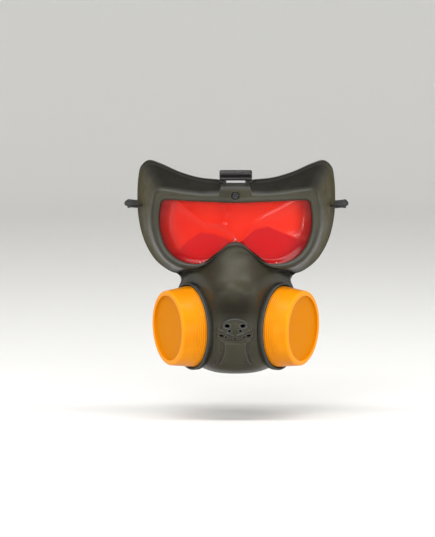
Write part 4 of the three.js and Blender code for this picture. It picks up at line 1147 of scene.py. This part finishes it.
wall_line = ShellRays([STRAP_RAY]).surface(np.linspace(0.3, 0.999, 2000)[None, :])[0]
slot_x, slot_y, slot_z = wall_line[np.argmin(np.abs(wall_line[:, 1] + STRAP_DEPTH))]
through = [(slot_x - WALL - STRAP_TAIL, slot_y, slot_z), (slot_x - WALL, slot_y, slot_z),
           (slot_x + STRAP_LEAD, slot_y + STRAP_THICKNESS / 2, slot_z)]
round_head = [(a * HEAD_BREADTH / 2, b * HEAD_LENGTH, slot_z - d * NAPE_DROP) for a, b, d in STRAP_ROUTE]
half_way = np.array(through + round_head)
corners = np.vstack([half_way, half_way[-2::-1] * (-1, 1, 1)])
fine = spline(corners, np.linspace(0, len(corners) - 1.0001, 3000), False)
length = arc_length(fine)
strap_run = np.linspace(0, length[-1], 760)
path = np.stack([np.interp(strap_run, length, fine[:, k]) for k in range(3)], axis=-1)
ahead = unit(np.gradient(path, axis=0))
level = unit(np.stack([ahead[:, 1], -ahead[:, 0], 0 * ahead[:, 0]], axis=-1))
upright = unit(np.cross(level, ahead))

# %% Twist and weave of the strap
from_end = np.minimum(strap_run, length[-1] - strap_run)
twist = np.pi / 2 * smoothstep(from_end, TWIST_FROM, TWIST_TO)[:, None]
wide = level * np.cos(twist) + upright * np.sin(twist)
section = rounded_rectangle(STRAP_WIDTH / 2, STRAP_THICKNESS / 2, 0.35, 4, 7)
points = swept(path, wide, np.cross(ahead, wide), section)
along = np.concatenate([[0], strap_run, strap_run[-1:]])[:, None]
threads = {"along": along, "across": section[None, :, 0]}
threads = {name: np.broadcast_to(place, points.shape[:2]) for name, place in threads.items()}
strap = grid_object("elastic_strap", points, elastic, threads, wrap_columns=True)
dress(strap, "head_strap")
print("strap length:", round(float(length[-1])), "mm")

# %% [markdown]
# ## Floor and light
# The mask hangs over a round pale floor that curves up all round, so that no horizon shows from any side. A
# long soft light overhead draws the glints along the frame's top. A key light and a front light stand before
# the mask, a weak cool one fills from the side, and two small ones stand at the height of the drums. Sharp
# lamps would be simpler, but glossy vinyl shows each one as a hard spot.

# %% Studio floor
FLOOR_RADIUS, FLOOR_BEND, WALL_TOP, FLOOR_CLEARANCE = 3000.0, 1200.0, 3600.0, 30.0

bend = np.linspace(0, np.pi / 2, 24)
profile = np.concatenate([
    [(0.0, 0.0)],
    np.stack([FLOOR_RADIUS + FLOOR_BEND * np.sin(bend), FLOOR_BEND * (1 - np.cos(bend))], axis=-1),
    [(FLOOR_RADIUS + FLOOR_BEND, WALL_TOP)],
])
floor_middle = np.array([0, 0, cad_box[0][2] / MM - FLOOR_CLEARANCE])
# An exactly upright axis has no sideways direction, so this one leans by a thousandth.
points = turned(profile, floor_middle, np.array([0, 0.001, 1.0]))
paper = new_material("pale_paper", Base_Color=(0.80, 0.80, 0.79, 1), Roughness=0.9)
floor = grid_object("studio_floor", points, paper, wrap_rows=True)


# %% Lights
MASK_MIDDLE = (0, 0, -0.03)


def soft_light(name, place, width, height, energy, color=(1, 1, 1)):
    """Rectangular light at a place in metres, turned to face the middle of the mask."""
    lamp = bpy.data.lights.new(name, "AREA")
    lamp.shape, lamp.size, lamp.size_y, lamp.energy, lamp.color = "RECTANGLE", width, height, energy, color
    holder = bpy.data.objects.new(name, lamp)
    towards = (Vector(MASK_MIDDLE) - Vector(place)).to_track_quat("-Z", "Y").to_matrix().to_4x4()
    holder.matrix_world = Matrix.Translation(Vector(place)) @ towards
    bpy.context.scene.collection.objects.link(holder)


soft_light("top_light", (0.0, -0.5, 1.7), 3.0, 0.3, 27)
soft_light("key_light", (-0.5, -1.6, 1.15), 1.1, 0.9, 13)
soft_light("front_light", (0.5, -2.0, 0.6), 0.9, 0.6, 9)
soft_light("side_light", (1.7, -0.5, 0.3), 0.8, 0.8, 5, (0.92, 0.96, 1.0))
for side, word in SIDES:
    soft_light(f"drum_light_{word}", (1.17 * side, -1.44, -0.12), 0.5, 0.2, 7)
world = bpy.data.worlds.new("studio")
world.use_nodes = True
world.node_tree.nodes["Background"].inputs["Color"].default_value = (1.0, 0.99, 0.97, 1)
world.node_tree.nodes["Background"].inputs["Strength"].default_value = 0.7
bpy.context.scene.world = world
bpy.context.scene.view_settings.view_transform = "Standard"
